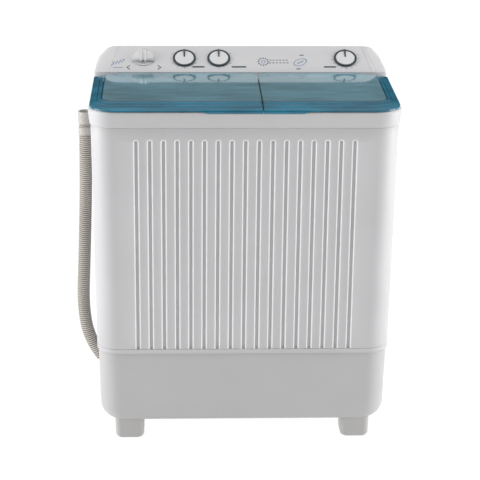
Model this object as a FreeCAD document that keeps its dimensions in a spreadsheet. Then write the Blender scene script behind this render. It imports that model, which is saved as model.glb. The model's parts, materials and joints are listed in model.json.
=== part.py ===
import FreeCAD, Part

import math
import os
import re

import Sketcher

# A twin tub washer: wash tub with pulsator on the left, spin dryer on the right, two clear lids
# hinged in front of a sloping console. Millimetres, front towards -Y, +Z up, origin on the floor
# under the middle of the cabinet.

V = FreeCAD.Vector
doc = FreeCAD.newDocument("twin_tub_washer")
sheet = doc.addObject("Spreadsheet::Sheet", "dims")

SIZES = {
    # cabinet and base
    "rim_width": 800, "rim_depth": 482, "rim_foot_width": 793, "rim_corner": 62,
    "rim_height": 42, "rim_wall": 4, "deck": 4,
    "cabinet_top_width": 788, "cabinet_foot_width": 776, "cabinet_top_front": 238,
    "cabinet_foot_front": 229, "cabinet_back": 236, "cabinet_height": 621,
    "cabinet_corner": 58, "cabinet_wall": 6,
    "groove_count": 17, "groove_pitch": 34.7, "groove_radius": 6.3, "groove_depth": 3,
    "groove_top_gap": 30,
    "base_top_width": 769, "base_foot_width": 761, "base_height": 196, "base_wall": 4,
    "base_inset": 4, "base_corner": 55, "base_lift": 54,
    "leg_width": 79, "leg_depth": 74, "leg_corner": 14, "leg_across": 606, "leg_along": 362,
    "panel_width": 530, "panel_height": 410, "panel_lap": 15, "panel_sheet": 2,
    "panel_rise": 70, "screw_head": 5, "screw_rise": 2.5,
    # wash side
    "wash_x": -185, "tub_y": -50, "tub_wide": 380, "tub_long": 310, "tub_corner": 60,
    "tub_wall": 3, "tub_floor": 4, "tub_flange": 7, "wash_floor_z": 420,
    "pulsator_radius": 140, "pulsator_disc": 8, "pulsator_gap": 6, "fin_count": 6,
    "fin_height": 12, "fin_width": 14, "hub_radius": 34, "hub_height": 18,
    "shaft_radius": 8, "running_fit": 0.05, "housing_radius": 30, "housing_height": 96,
    "pulley_radius": 80, "pulley_face": 12, "pulley_drop": 24, "motor_pulley_radius": 22,
    "belt_thick": 7, "belt_gap": 0.3, "motor_dx": 125, "motor_dy": 145,
    "motor_radius": 60, "motor_height": 140, "motor_shaft_radius": 7, "motor_stand": 63,
    "bracket_sheet": 6, "bracket_width": 150, "bracket_post": 16,
    "drain_dx": -145, "drain_dy": 118, "drain_bore": 16, "valve_radius": 30,
    "valve_height": 80, "valve_wall": 4, "plug_radius": 23, "plug_height": 14,
    "plug_rest": 0.5, "pipe_radius": 14, "pipe_wall": 2,
    "filter_width": 90, "filter_thick": 8, "filter_height": 180, "filter_gap": 0.5,
    "filter_z": 620, "holder_wall": 3.5, "holder_height": 100,
    # spin side
    "spin_x": 218, "spin_tub_radius": 150, "spin_floor_z": 440, "spin_flange": 8,
    "basket_clear": 32, "basket_sheet": 2, "basket_gap": 38, "basket_height": 372,
    "basket_hole": 4, "basket_rows": 7, "basket_columns": 9, "basket_hub": 30,
    "basket_hub_height": 60, "balance_height": 22, "balance_inset": 12,
    "balance_lap": 5,
    "spin_shaft_radius": 9, "seal_outer": 34, "drum_radius": 55, "drum_height": 26,
    "drum_z": 236, "spin_motor_radius": 62, "spin_motor_height": 140, "spin_plate_z": 78,
    "spin_plate": 6, "spin_plate_width": 190, "spring_radius": 12, "spring_spread": 70,
    "lever_gap": 5.3, "lever_length": 92, "lever_arm": 70, "lever_thick": 8,
    "lever_height": 16, "lever_pin": 4, "shoe_length": 36, "shoe_thick": 8,
    "inner_lid_clear": 25, "inner_lid_sheet": 3, "inner_hinge_clear": 16,
    "inner_lid_drop": 17, "inner_pin": 2.5, "inner_knuckle": 5, "inner_knuckle_length": 80,
    "pin_fit": 0.08,
    # lids
    "lid_width": 794, "lid_front": 240, "lid_corner": 58, "lid_gap": 0.5, "lid_edge": 4.5,
    "lid_rise": 14, "lid_side_inset": 20, "lid_front_inset": 66, "lid_skin": 3,
    "lid_split": 44, "lid_split_gap": 3, "hinge_y": 110, "knuckle_radius": 6,
    "hinge_pin": 2.8, "pin_reach": 15, "knuckle_inset": 66, "knuckle_gap": 1,
    "neck": 7,
    # console
    "console_foot_y": 126, "console_rise": 14.5, "face_tilt": 32, "face_length": 99,
    "console_back": 226, "console_top_back": 12, "console_foot_half": 391,
    "console_top_half": 357, "cap_x": 345, "console_wall": 3, "fascia": 2.5,
    "knob_u": 50, "knob_radius": 31, "knob_height": 14, "knob_lift": 1.5, "stem_radius": 5,
    "stem_hole": 7, "wash_knob_x": -153, "select_knob_x": -59, "spin_knob_x": 287,
    "timer_size": 44, "timer_depth": 24, "stem_depth": 3,
    "inlet_x": -265, "inlet_radius": 31, "inlet_height": 12, "inlet_bar": 46,
    "inlet_spigot": 10, "inlet_spigot_length": 14,
    # drain hose and what it meets
    "hose_radius": 18, "hose_y": 155, "cuff_radius": 19.5, "cuff_length": 30,
    "sump_x": -345, "sump_size": 56, "sump_wall": 4, "niche_height": 72, "niche_width": 76,
    "spigot_radius": 12, "spigot_bore": 9, "clip_wall": 3, "clip_height": 20, "clip_gap": 0.5,
    "clip_top": 768,
    "capacitor_radius": 20, "capacitor_height": 80, "gland_radius": 10, "gland_length": 5,
}

# Heights and places that follow from the driving sizes.
DERIVED = {
    "cabinet_foot_z": "base_lift + base_height",
    "rim_foot_z": "cabinet_foot_z + cabinet_height",
    "rim_top_z": "rim_foot_z + rim_height",
    "deck_under_z": "rim_top_z - deck",
    "lid_foot_z": "rim_top_z + lid_gap",
    "lid_top_z": "lid_foot_z + lid_rise",
    "hinge_z": "lid_top_z - knuckle_radius",
    "console_foot_z": "rim_top_z + console_rise",
    "face_top_y": "console_foot_y + face_length*cos(face_tilt)",
    "face_top_z": "console_foot_z + face_length*sin(face_tilt)",
    "base_floor_z": "base_lift + base_wall",
    "motor_x": "wash_x + motor_dx",
    "motor_y": "tub_y + motor_dy",
    "pulley_z": "wash_floor_z - housing_height - pulley_drop - pulley_face/2",
    "drain_x": "wash_x + drain_dx",
    "drain_y": "tub_y + drain_dy",
    "basket_z": "spin_floor_z + basket_gap",
    "basket_radius": "spin_tub_radius - basket_clear",
    "balance_inner": "basket_radius - balance_inset",
    "balance_outer": "basket_radius + balance_lap",
    "inner_lid_radius": "spin_tub_radius - inner_lid_clear",
    "inner_hinge_reach": "spin_tub_radius - inner_hinge_clear",
    "inner_hinge_y": "tub_y + inner_hinge_reach",
    "inner_hinge_z": "rim_top_z - inner_lid_drop",
}

cells = {alias: str(number) for alias, number in SIZES.items()}
cells.update({alias: "=" + formula for alias, formula in DERIVED.items()})
for row, (alias, content) in enumerate(cells.items(), start=1):
    sheet.set("A%d" % row, alias.replace("_", " "))
    sheet.set("B%d" % row, content)
    sheet.setAlias("B%d" % row, alias)
doc.recompute()

ALIASES = re.compile(r"\b(" + "|".join(sorted(cells, key=len, reverse=True)) + r")\b")


def on_sheet(expression):
    """Turn the sheet's bare names in an expression into references to the sheet."""
    return ALIASES.sub(r"dims.\1", str(expression))


def value(expression):
    """The present number of an expression on the sheet."""
    return float(sheet.evalExpression(on_sheet(expression)))


def bind(thing, **expressions):
    for prop, expression in expressions.items():
        thing.setExpression(prop, on_sheet(expression))
    return thing


def place(thing, x, y, z):
    for letter, expression in zip("xyz", (x, y, z)):
        thing.setExpression("Placement.Base." + letter, on_sheet(expression))
    return thing


def turn(thing, axis, angle):
    """Turn a piece about an axis through its own origin, by an angle on the sheet."""
    base = thing.Placement.Base
    thing.Placement = FreeCAD.Placement(base, FreeCAD.Rotation(V(*axis), 1))
    thing.setExpression("Placement.Rotation.Angle", on_sheet(angle))
    return thing


def box(name, width, depth, height, x, y, z):
    """A block centred on x and y that stands on z."""
    block = bind(doc.addObject("Part::Box", name), Length=width, Width=depth, Height=height)
    return place(block, "%s - (%s)/2" % (x, width), "%s - (%s)/2" % (y, depth), z)


def cylinder(name, radius, height, x, y, z):
    return place(bind(doc.addObject("Part::Cylinder", name), Radius=radius, Height=height), x, y, z)


def rod(name, radius, length, x, y, z, axis):
    """A cylinder that starts at x, y, z and runs along +X or +Y."""
    bar = cylinder(name, radius, length, x, y, z)
    return turn(bar, (0, 1, 0) if axis == "x" else (-1, 0, 0), "90")


def cut(name, base, *tools):
    for number, tool in enumerate(tools):
        last = number == len(tools) - 1
        step = doc.addObject("Part::Cut", name if last else "%s_step%d" % (name, number))
        step.Base = base
        step.Tool = tool
        base = step
    return base


def fuse(name, *pieces):
    joined = doc.addObject("Part::MultiFuse", name)
    joined.Shapes = list(pieces)
    joined.Refine = True
    return joined


def common(name, *pieces):
    kept = doc.addObject("Part::MultiCommon", name)
    kept.Shapes = list(pieces)
    return kept


def group(name, *pieces):
    """Several separate solids in one node."""
    kept = doc.addObject("Part::Compound", name)
    kept.Links = list(pieces)
    return kept


def plane_of(body, role):
    return [feature for feature in body.Origin.OriginFeatures if feature.Role == role][0]


def rounded_sketch(body, name, width, depth, radius, x, y, z):
    """A rectangle with round corners, centred on x and y, on a level plane at z."""
    sketch = body.newObject("Sketcher::SketchObject", name)
    sketch.AttachmentSupport = [(plane_of(body, "XY_Plane"), "")]
    sketch.MapMode = "FlatFace"
    sketch.setExpression("AttachmentOffset.Base.z", on_sheet(z))
    w, d, r, cx, cy = (value(item) for item in (width, depth, radius, x, y))
    left, right, front, back = cx - w / 2, cx + w / 2, cy - d / 2, cy + d / 2
    lines = [
        (V(left + r, front, 0), V(right - r, front, 0)),
        (V(right, front + r, 0), V(right, back - r, 0)),
        (V(right - r, back, 0), V(left + r, back, 0)),
        (V(left, back - r, 0), V(left, front + r, 0)),
    ]
    centres = [V(right - r, front + r, 0), V(right - r, back - r, 0),
               V(left + r, back - r, 0), V(left + r, front + r, 0)]
    for start, end in lines:
        sketch.addGeometry(Part.LineSegment(start, end))
    for number, centre in enumerate(centres):
        start_angle = math.radians(270 + 90 * number)
        circle = Part.Circle(centre, V(0, 0, 1), r)
        sketch.addGeometry(Part.ArcOfCircle(circle, start_angle, start_angle + math.pi / 2))
    for number in range(4):
        arc = 4 + number
        sketch.addConstraint(Sketcher.Constraint("Tangent", number, 2, arc, 1))
        sketch.addConstraint(Sketcher.Constraint("Tangent", arc, 2, (number + 1) % 4, 1))
        if number:
            sketch.addConstraint(Sketcher.Constraint("Equal", 4, arc))
    sketch.addConstraint(Sketcher.Constraint("Horizontal", 0))
    sketch.addConstraint(Sketcher.Constraint("Vertical", 1))
    half_width = "(%s)/2" % width
    half_depth = "(%s)/2" % depth
    sizes = [
        (Sketcher.Constraint("Radius", 4, r), radius),
        (Sketcher.Constraint("DistanceX", -1, 1, 1, 1, right), "(%s) + %s" % (x, half_width)),
        (Sketcher.Constraint("DistanceX", -1, 1, 3, 1, left), "(%s) - %s" % (x, half_width)),
        (Sketcher.Constraint("DistanceY", -1, 1, 0, 1, front), "(%s) - %s" % (y, half_depth)),
        (Sketcher.Constraint("DistanceY", -1, 1, 2, 1, back), "(%s) + %s" % (y, half_depth)),
    ]
    for constraint, expression in sizes:
        index = sketch.addConstraint(constraint)
        sketch.setExpression("Constraints[%d]" % index, on_sheet(expression))
    return sketch


def prism(name, width, depth, radius, x, y, z, height):
    body = doc.addObject("PartDesign::Body", name)
    profile = rounded_sketch(body, name + "_outline", width, depth, radius, x, y, z)
    pad = body.newObject("PartDesign::Pad", name + "_pad")
    pad.Profile = profile
    pad.setExpression("Length", on_sheet(height))
    body.Tip = pad
    return body


def tapered(name, foot, top):
    """A block between two rounded outlines, each (width, depth, radius, x, y, z)."""
    body = doc.addObject("PartDesign::Body", name)
    loft = body.newObject("PartDesign::AdditiveLoft", name + "_loft")
    loft.Profile = rounded_sketch(body, name + "_foot", *foot)
    loft.Sections = [rounded_sketch(body, name + "_top", *top)]
    loft.Ruled = True
    body.Tip = loft
    return body


def outline_sketch(body, name, role, corners):
    """A closed outline of straight sides on one of the upright planes through the origin.

    Each corner is a pair of expressions: across, then up.
    """
    sketch = body.newObject("Sketcher::SketchObject", name)
    sketch.AttachmentSupport = [(plane_of(body, role), "")]
    sketch.MapMode = "FlatFace"
    points = [V(value(across), value(up), 0) for across, up in corners]
    for number, point in enumerate(points):
        sketch.addGeometry(Part.LineSegment(point, points[(number + 1) % len(points)]))
    for number, point in enumerate(points):
        after = (number + 1) % len(points)
        sketch.addConstraint(Sketcher.Constraint("Coincident", number, 2, after, 1))
        for kind, size, expression in (("DistanceX", point.x, corners[number][0]),
                                       ("DistanceY", point.y, corners[number][1])):
            index = sketch.addConstraint(Sketcher.Constraint(kind, -1, 1, number, 1, size))
            sketch.setExpression("Constraints[%d]" % index, on_sheet(expression))
    return sketch


def extrusion(name, role, corners, length):
    """A straight-sided outline on an upright plane, pushed out both ways from the plane."""
    body = doc.addObject("PartDesign::Body", name)
    profile = outline_sketch(body, name + "_outline", role, corners)
    pad = body.newObject("PartDesign::Pad", name + "_pad")
    pad.Profile = profile
    pad.setExpression("Length", on_sheet(length))
    pad.Midplane = True
    body.Tip = pad
    return body


def on_face(thing, x, along, out):
    """Stand a piece on the sloping console face: along is up the slope, out is off the face."""
    up_y = "console_foot_y + (%s)*cos(face_tilt) - (%s)*sin(face_tilt)" % (along, out)
    up_z = "console_foot_z + (%s)*sin(face_tilt) + (%s)*cos(face_tilt)" % (along, out)
    return place(turn(thing, (1, 0, 0), "face_tilt"), x, up_y, up_z)


def face_box(name, width, length, height, x, along, out):
    block = bind(doc.addObject("Part::Box", name), Length=width, Width=length, Height=height)
    return on_face(block, "%s - (%s)/2" % (x, width), "%s - (%s)/2" % (along, length), out)


def face_cylinder(name, radius, height, x, along, out):
    return on_face(bind(doc.addObject("Part::Cylinder", name), Radius=radius, Height=height),
                   x, along, out)


def tube_path(points):
    """Straight runs joined by tangent arcs; returns the wire, its length and its arc radii."""
    edges, radii = [], []
    start = points[0]
    for before, corner, after in zip(points, points[1:], points[2:]):
        back, ahead = before - corner, after - corner
        shorter = min(back.Length, ahead.Length)
        half_turn = (math.pi - back.getAngle(ahead)) / 2
        reach = 0.45 * shorter
        radii.append(reach / math.tan(half_turn))
        to_back, to_ahead = V(back).normalize(), V(ahead).normalize()
        first, last = corner + to_back * reach, corner + to_ahead * reach
        to_centre = (to_back + to_ahead).normalize()
        centre_distance = radii[-1] / math.cos(half_turn)
        middle = corner + to_centre * (centre_distance - radii[-1])
        edges.append(Part.LineSegment(start, first).toShape())
        edges.append(Part.Arc(first, middle, last).toShape())
        start = last
    edges.append(Part.LineSegment(start, points[-1]).toShape())
    return Part.Wire(edges), radii


def tube(name, points, outer, inner=0):
    """A pipe swept along a path; a hose is solid where inner is 0."""
    wire, radii = tube_path(points)

    def swept(radius):
        ring = Part.Wire(Part.Circle(points[0], points[1] - points[0], radius).toShape())
        return wire.makePipeShell([ring], True, False)

    solid = swept(outer)
    if inner:
        solid = solid.cut(swept(inner))
    pipe = doc.addObject("Part::Feature", name)
    pipe.Shape = solid
    area = math.pi * (outer ** 2 - inner ** 2)
    print("%s: length %.0f, least radius %.0f, volume ratio %.4f" % (
        name, wire.Length, min(radii), solid.Volume / (area * wire.Length)))
    return pipe


def make_base():
    depth = "cabinet_foot_front + cabinet_back - 2*base_inset"
    middle = "(cabinet_back - cabinet_foot_front)/2"
    foot_depth = "%s - (base_top_width - base_foot_width)" % depth
    inside = "2*base_wall"
    outer = tapered("base_outer",
                    ("base_foot_width", foot_depth, "base_corner", "0", middle, "base_lift"),
                    ("base_top_width", depth, "base_corner", "0", middle, "cabinet_foot_z"))
    core = tapered("base_core",
                   ("base_foot_width - %s" % inside, "%s - %s" % (foot_depth, inside),
                    "base_corner - base_wall", "0", middle, "base_floor_z"),
                   ("base_top_width - %s" % inside, "%s - %s" % (depth, inside),
                    "base_corner - base_wall", "0", middle, "cabinet_foot_z"))
    niche = box("base_niche", "base_foot_width/2 + sump_x + 20", "niche_width",
                "niche_height", "sump_x - (base_foot_width/2 + sump_x + 20)/2", "hose_y",
                "base_lift")
    return [cut("base", outer, core, niche)]


def make_legs():
    legs = []
    for side, across in (("left", -1), ("right", 1)):
        for end, along in (("front", -1), ("rear", 1)):
            legs.append(prism("leg_%s_%s" % (end, side), "leg_width", "leg_depth", "leg_corner",
                              "%d*leg_across/2" % across, "%d*leg_along/2" % along,
                              "0", "base_lift"))
    return legs


def make_cabinet():
    top_depth = "cabinet_top_front + cabinet_back"
    foot_depth = "cabinet_foot_front + cabinet_back"
    top_middle = "(cabinet_back - cabinet_top_front)/2"
    foot_middle = "(cabinet_back - cabinet_foot_front)/2"
    walls = "2*cabinet_wall"
    outer = tapered("cabinet_outer",
                    ("cabinet_foot_width", foot_depth, "cabinet_corner", "0", foot_middle,
                     "cabinet_foot_z"),
                    ("cabinet_top_width", top_depth, "cabinet_corner", "0", top_middle,
                     "rim_foot_z"))
    core = tapered("cabinet_core",
                   ("cabinet_foot_width - %s" % walls, "%s - %s" % (foot_depth, walls),
                    "cabinet_corner - cabinet_wall", "0", foot_middle, "cabinet_foot_z"),
                   ("cabinet_top_width - %s" % walls, "%s - %s" % (top_depth, walls),
                    "cabinet_corner - cabinet_wall", "0", top_middle, "rim_foot_z"))
    window = box("panel_window", "panel_width - 2*panel_lap", "4*cabinet_wall",
                 "panel_height - 2*panel_lap", "0", "cabinet_back",
                 "cabinet_foot_z + panel_rise + panel_lap")
    lean = "atan((cabinet_top_front - cabinet_foot_front)/cabinet_height)"
    sink = "groove_radius - groove_depth"
    grooves = []
    for number in range(int(value("groove_count"))):
        across = "(%d - (groove_count - 1)/2)*groove_pitch" % number
        groove = cylinder("groove_%d" % number, "groove_radius",
                          "cabinet_height - groove_top_gap", across,
                          "-cabinet_foot_front - (%s)" % sink, "cabinet_foot_z")
        grooves.append(turn(groove, (1, 0, 0), lean))
    cabinet = cut("cabinet", outer, core, window, group("grooves", *grooves))
    panel = box("rear_panel", "panel_width", "panel_sheet", "panel_height", "0",
                "cabinet_back + panel_sheet/2", "cabinet_foot_z + panel_rise")
    heads = []
    for across in (-1, 0, 1):
        for up in ("panel_lap/2", "panel_height - panel_lap/2"):
            heads.append(rod("panel_screw_%d" % len(heads), "screw_head", "screw_rise",
                             "%d*(panel_width - panel_lap)/2" % across,
                             "cabinet_back + panel_sheet",
                             "cabinet_foot_z + panel_rise + %s" % up, "y"))
    return [cabinet, panel, group("rear_panel_screws", *heads)]


def make_top_frame():
    walls = "2*rim_wall"
    outer = tapered("rim_outer",
                    ("rim_foot_width", "rim_depth - 6", "rim_corner - 3", "0", "0", "rim_foot_z"),
                    ("rim_width", "rim_depth", "rim_corner", "0", "0", "rim_top_z"))
    core = tapered("rim_core",
                   ("rim_foot_width - %s" % walls, "rim_depth - 6 - %s" % walls,
                    "rim_corner - 3 - rim_wall", "0", "0", "rim_foot_z"),
                   ("rim_width - %s" % walls, "rim_depth - %s" % walls,
                    "rim_corner - rim_wall", "0", "0", "deck_under_z"))
    wash_mouth = prism("wash_mouth", "tub_wide", "tub_long", "tub_corner", "wash_x", "tub_y",
                       "deck_under_z - 1", "deck + 2")
    spin_mouth = cylinder("spin_mouth", "spin_tub_radius - tub_wall - 1", "deck + 2", "spin_x",
                          "tub_y", "deck_under_z - 1")
    return [cut("top_frame", outer, core, wash_mouth, spin_mouth)]


def make_wash_tub():
    shell = prism("tub_shell", "tub_wide + 2*tub_wall", "tub_long + 2*tub_wall",
                  "tub_corner + tub_wall", "wash_x", "tub_y", "wash_floor_z",
                  "deck_under_z - wash_floor_z")
    flange = prism("tub_lip", "tub_wide + 2*tub_flange", "tub_long + 2*tub_flange",
                   "tub_corner + tub_flange", "wash_x", "tub_y", "deck_under_z - deck", "deck")
    room = prism("tub_room", "tub_wide", "tub_long", "tub_corner", "wash_x", "tub_y",
                 "wash_floor_z + tub_floor", "deck_under_z - wash_floor_z")
    shaft_hole = cylinder("tub_shaft_hole", "shaft_radius + 4", "3*tub_floor", "wash_x", "tub_y",
                          "wash_floor_z - tub_floor")
    drain_hole = cylinder("tub_drain_hole", "drain_bore", "3*tub_floor", "drain_x", "drain_y",
                          "wash_floor_z - tub_floor")
    tub = cut("wash_tub", fuse("tub_walls", shell, flange), room, shaft_hole, drain_hole)
    slot_wide = "filter_width + 2*filter_gap"
    slot_deep = "filter_thick + 2*filter_gap"
    back = "tub_y + tub_long/2"
    holder_block = box("holder_block", "%s + 2*holder_wall" % slot_wide,
                       "%s + 2*holder_wall" % slot_deep, "holder_height", "wash_x",
                       "%s - (%s)/2 - holder_wall" % (back, slot_deep), "filter_z - 10")
    holder_slot = box("holder_slot", slot_wide, slot_deep, "holder_height", "wash_x",
                      "%s - (%s)/2 - holder_wall" % (back, slot_deep), "filter_z - 5")
    holder_view = box("holder_view", "filter_width - 14", "4*holder_wall", "holder_height",
                      "wash_x", "%s - (%s) - 2*holder_wall" % (back, slot_deep),
                      "filter_z + 5")
    holder = cut("filter_holder", holder_block, holder_slot, holder_view)
    filter_y = "%s - (%s)/2 - holder_wall" % (back, slot_deep)
    filter_block = box("filter_block", "filter_width", "filter_thick", "filter_height", "wash_x",
                       filter_y, "filter_z - 4.5")
    filter_pocket = box("filter_pocket", "filter_width - 12", "filter_thick - 3",
                        "filter_height - 16", "wash_x", "%s - 1.5" % filter_y, "filter_z + 4")
    filter_body = cut("lint_filter", filter_block, filter_pocket)
    return [tub, holder, filter_body]


def make_pulsator():
    disc_z = "wash_floor_z + tub_floor + pulsator_gap"
    disc = cylinder("pulsator_disc_part", "pulsator_radius", "pulsator_disc", "wash_x", "tub_y",
                    disc_z)
    hub = cylinder("pulsator_hub", "hub_radius", "pulsator_disc + hub_height", "wash_x", "tub_y",
                   disc_z)
    pieces = [disc, hub]
    for number in range(int(value("fin_count"))):
        fin = bind(doc.addObject("Part::Box", "fin_%d" % number), Length="pulsator_radius - 4",
                   Width="fin_width", Height="pulsator_disc + fin_height")
        angle = "%d*360/fin_count" % number
        turn(fin, (0, 0, 1), angle)
        place(fin, "wash_x + sin(%s)*fin_width/2" % angle,
              "tub_y - cos(%s)*fin_width/2" % angle, disc_z)
        pieces.append(fin)
    bore = cylinder("pulsator_bore", "shaft_radius", "hub_height", "wash_x", "tub_y", disc_z)
    pulsator = cut("pulsator", fuse("pulsator_whole", *pieces), bore)
    shaft_foot = "pulley_z - pulley_face/2 - 4"
    shaft = cylinder("pulsator_shaft", "shaft_radius", "%s + hub_height - (%s)" % (
        disc_z, shaft_foot), "wash_x", "tub_y", shaft_foot)
    screw = cylinder("pulsator_screw", "shaft_radius + 3", "4", "wash_x", "tub_y",
                     "%s + pulsator_disc + hub_height" % disc_z)
    housing = cut("bearing_housing",
                  cylinder("housing_block", "housing_radius", "housing_height", "wash_x",
                           "tub_y", "wash_floor_z - housing_height"),
                  cylinder("housing_bore", "shaft_radius + running_fit", "housing_height",
                           "wash_x", "tub_y", "wash_floor_z - housing_height"))
    wheel = cylinder("pulley_wheel", "pulley_radius", "pulley_face", "wash_x", "tub_y",
                     "pulley_z - pulley_face/2")
    wheel_bore = cylinder("pulley_bore", "shaft_radius", "pulley_face", "wash_x", "tub_y",
                          "pulley_z - pulley_face/2")
    windows = []
    for number in range(5):
        angle = "%d*72" % number
        windows.append(cylinder("pulley_window_%d" % number, "pulley_radius/5", "pulley_face",
                                "wash_x + pulley_radius*0.57*cos(%s)" % angle,
                                "tub_y + pulley_radius*0.57*sin(%s)" % angle,
                                "pulley_z - pulley_face/2"))
    pulley = cut("wash_pulley", wheel, wheel_bore, group("pulley_windows", *windows))
    return [pulsator, shaft, screw, housing, pulley]


def make_drive():
    motor_foot = "base_floor_z + motor_stand + bracket_sheet"
    motor = cut("wash_motor",
                cylinder("wash_motor_can", "motor_radius", "motor_height", "motor_x", "motor_y",
                         motor_foot),
                cylinder("wash_motor_bore", "motor_shaft_radius + running_fit",
                         "motor_height/2 + 1", "motor_x", "motor_y",
                         "%s + motor_height/2" % motor_foot))
    spindle_foot = "%s + motor_height/2 + 2" % motor_foot
    spindle = cylinder("spindle", "motor_shaft_radius",
                       "pulley_z + pulley_face/2 + 4 - (%s)" % spindle_foot, "motor_x",
                       "motor_y", spindle_foot)
    small = cylinder("small_wheel", "motor_pulley_radius", "pulley_face", "motor_x", "motor_y",
                     "pulley_z - pulley_face/2")
    plate = prism("bracket_plate", "bracket_width", "bracket_width", "12", "motor_x", "motor_y",
                  "base_floor_z + motor_stand", "bracket_sheet")
    posts = []
    for across in (-1, 1):
        for along in (-1, 1):
            offset = "(bracket_width/2 - bracket_post)"
            posts.append(cylinder("post_%d" % len(posts), "bracket_post/2", "motor_stand",
                                  "motor_x + %d*%s" % (across, offset),
                                  "motor_y + %d*%s" % (along, offset), "base_floor_z"))
    belt = doc.addObject("Part::Feature", "drive_belt")
    belt.Shape = belt_loop()
    return [motor, fuse("motor_pulley", spindle, small), fuse("motor_bracket", plate, *posts),
            belt]


def belt_loop():
    """An open belt round two pulleys: the ring between two tangent outlines."""
    big = V(value("wash_x"), value("tub_y"), 0)
    small = V(value("motor_x"), value("motor_y"), 0)
    face = value("pulley_face") - 2

    def outline(grow):
        radius_big = value("pulley_radius") + grow
        radius_small = value("motor_pulley_radius") + grow
        line = small - big
        heading = math.atan2(line.y, line.x)
        spread = math.acos((radius_big - radius_small) / line.Length)

        def at(centre, radius, angle):
            return centre + V(math.cos(angle), math.sin(angle), 0) * radius

        left, right = heading + spread, heading - spread
        edges = [
            Part.LineSegment(at(big, radius_big, right), at(small, radius_small, right)),
            Part.Arc(at(small, radius_small, right), at(small, radius_small, heading),
                     at(small, radius_small, left)),
            Part.LineSegment(at(small, radius_small, left), at(big, radius_big, left)),
            Part.Arc(at(big, radius_big, left), at(big, radius_big, heading + math.pi),
                     at(big, radius_big, right)),
        ]
        return Part.Face(Part.Wire([edge.toShape() for edge in edges]))

    gap = value("belt_gap")
    ring = outline(gap + value("belt_thick")).cut(outline(gap))
    loop = ring.extrude(V(0, 0, face))
    loop.translate(V(0, 0, value("pulley_z") - face / 2))
    return loop


def make_spin_side():
    drum_top = "drum_z + drum_height"
    tub_shell = cylinder("spin_shell", "spin_tub_radius", "deck_under_z - spin_floor_z",
                         "spin_x", "tub_y", "spin_floor_z")
    tub_lip = cylinder("spin_lip", "spin_tub_radius + spin_flange", "deck", "spin_x", "tub_y",
                       "deck_under_z - deck")
    tub_room = cylinder("spin_room", "spin_tub_radius - tub_wall", "deck_under_z - spin_floor_z",
                        "spin_x", "tub_y", "spin_floor_z + tub_floor")
    seal_hole = cylinder("seal_hole", "seal_outer", "3*tub_floor", "spin_x", "tub_y",
                         "spin_floor_z - tub_floor")
    drain = cylinder("spin_drain_hole", "pipe_radius - pipe_wall", "3*tub_floor",
                     "spin_x - 70", "tub_y + 90", "spin_floor_z - tub_floor")
    outer_tub = cut("spin_outer_tub", fuse("spin_walls", tub_shell, tub_lip), tub_room,
                    seal_hole, drain)
    seal = cut("spin_tub_seal",
               cylinder("seal_disc", "seal_outer", "tub_floor", "spin_x", "tub_y",
                        "spin_floor_z"),
               cylinder("seal_bore", "spin_shaft_radius + 0.3", "tub_floor", "spin_x", "tub_y",
                        "spin_floor_z"))
    wall = cylinder("basket_wall", "basket_radius", "basket_height", "spin_x", "tub_y",
                    "basket_z")
    room = cylinder("basket_room", "basket_radius - basket_sheet", "basket_height", "spin_x",
                    "tub_y", "basket_z + basket_sheet")
    hub = cylinder("basket_hub_part", "basket_hub", "basket_hub_height", "spin_x", "tub_y",
                   "basket_z")
    holes = []
    for column in range(int(value("basket_columns"))):
        for level in range(int(value("basket_rows"))):
            hole = cylinder("basket_hole_%d_%d" % (column, level), "basket_hole",
                            "2*basket_radius + 4",
                            "spin_x - (basket_radius + 2)*cos(%d*180/basket_columns)" % column,
                            "tub_y - (basket_radius + 2)*sin(%d*180/basket_columns)" % column,
                            "basket_z + 95 + %d*40" % level)
            heading = math.radians(column * 180 / value("basket_columns"))
            turn(hole, (-math.sin(heading), math.cos(heading), 0), "90")
            holes.append(hole)
    basket = cut("spin_basket", fuse("basket_whole", cut("basket_can", wall, room), hub),
                 group("basket_holes", *holes))
    ring = cut("balance_ring",
               cylinder("balance_disc", "balance_outer", "balance_height", "spin_x", "tub_y",
                        "basket_z + basket_height"),
               cylinder("balance_hole", "balance_inner", "balance_height", "spin_x", "tub_y",
                        "basket_z + basket_height"))
    shaft = cylinder("spin_shaft", "spin_shaft_radius", "basket_z - (%s)" % drum_top, "spin_x",
                     "tub_y", drum_top)
    motor_foot = "spin_plate_z + spin_plate"
    stub = cylinder("drum_stub", "motor_shaft_radius", "drum_z - (%s + spin_motor_height/2)"
                    % motor_foot, "spin_x", "tub_y", "%s + spin_motor_height/2" % motor_foot)
    drum = fuse("brake_drum", stub, cylinder("drum_wheel", "drum_radius", "drum_height",
                                             "spin_x", "tub_y", "drum_z"))
    motor = cut("spin_motor",
                cylinder("spin_can", "spin_motor_radius", "spin_motor_height", "spin_x",
                         "tub_y", motor_foot),
                cylinder("spin_can_bore", "motor_shaft_radius + running_fit",
                         "spin_motor_height", "spin_x", "tub_y",
                         "%s + spin_motor_height/2 - 1" % motor_foot))
    plate = prism("spin_motor_plate", "spin_plate_width", "spin_plate_width", "20", "spin_x",
                  "tub_y", "spin_plate_z", "spin_plate")
    springs = []
    for across in (-1, 1):
        for along in (-1, 1):
            springs.append(cylinder("spring_%d" % len(springs), "spring_radius",
                                    "spin_plate_z - base_floor_z",
                                    "spin_x + %d*spring_spread" % across,
                                    "tub_y + %d*spring_spread" % along, "base_floor_z"))
    return [outer_tub, seal, basket, ring, shaft, drum, motor, plate,
            group("spin_motor_springs", *springs)]


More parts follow.
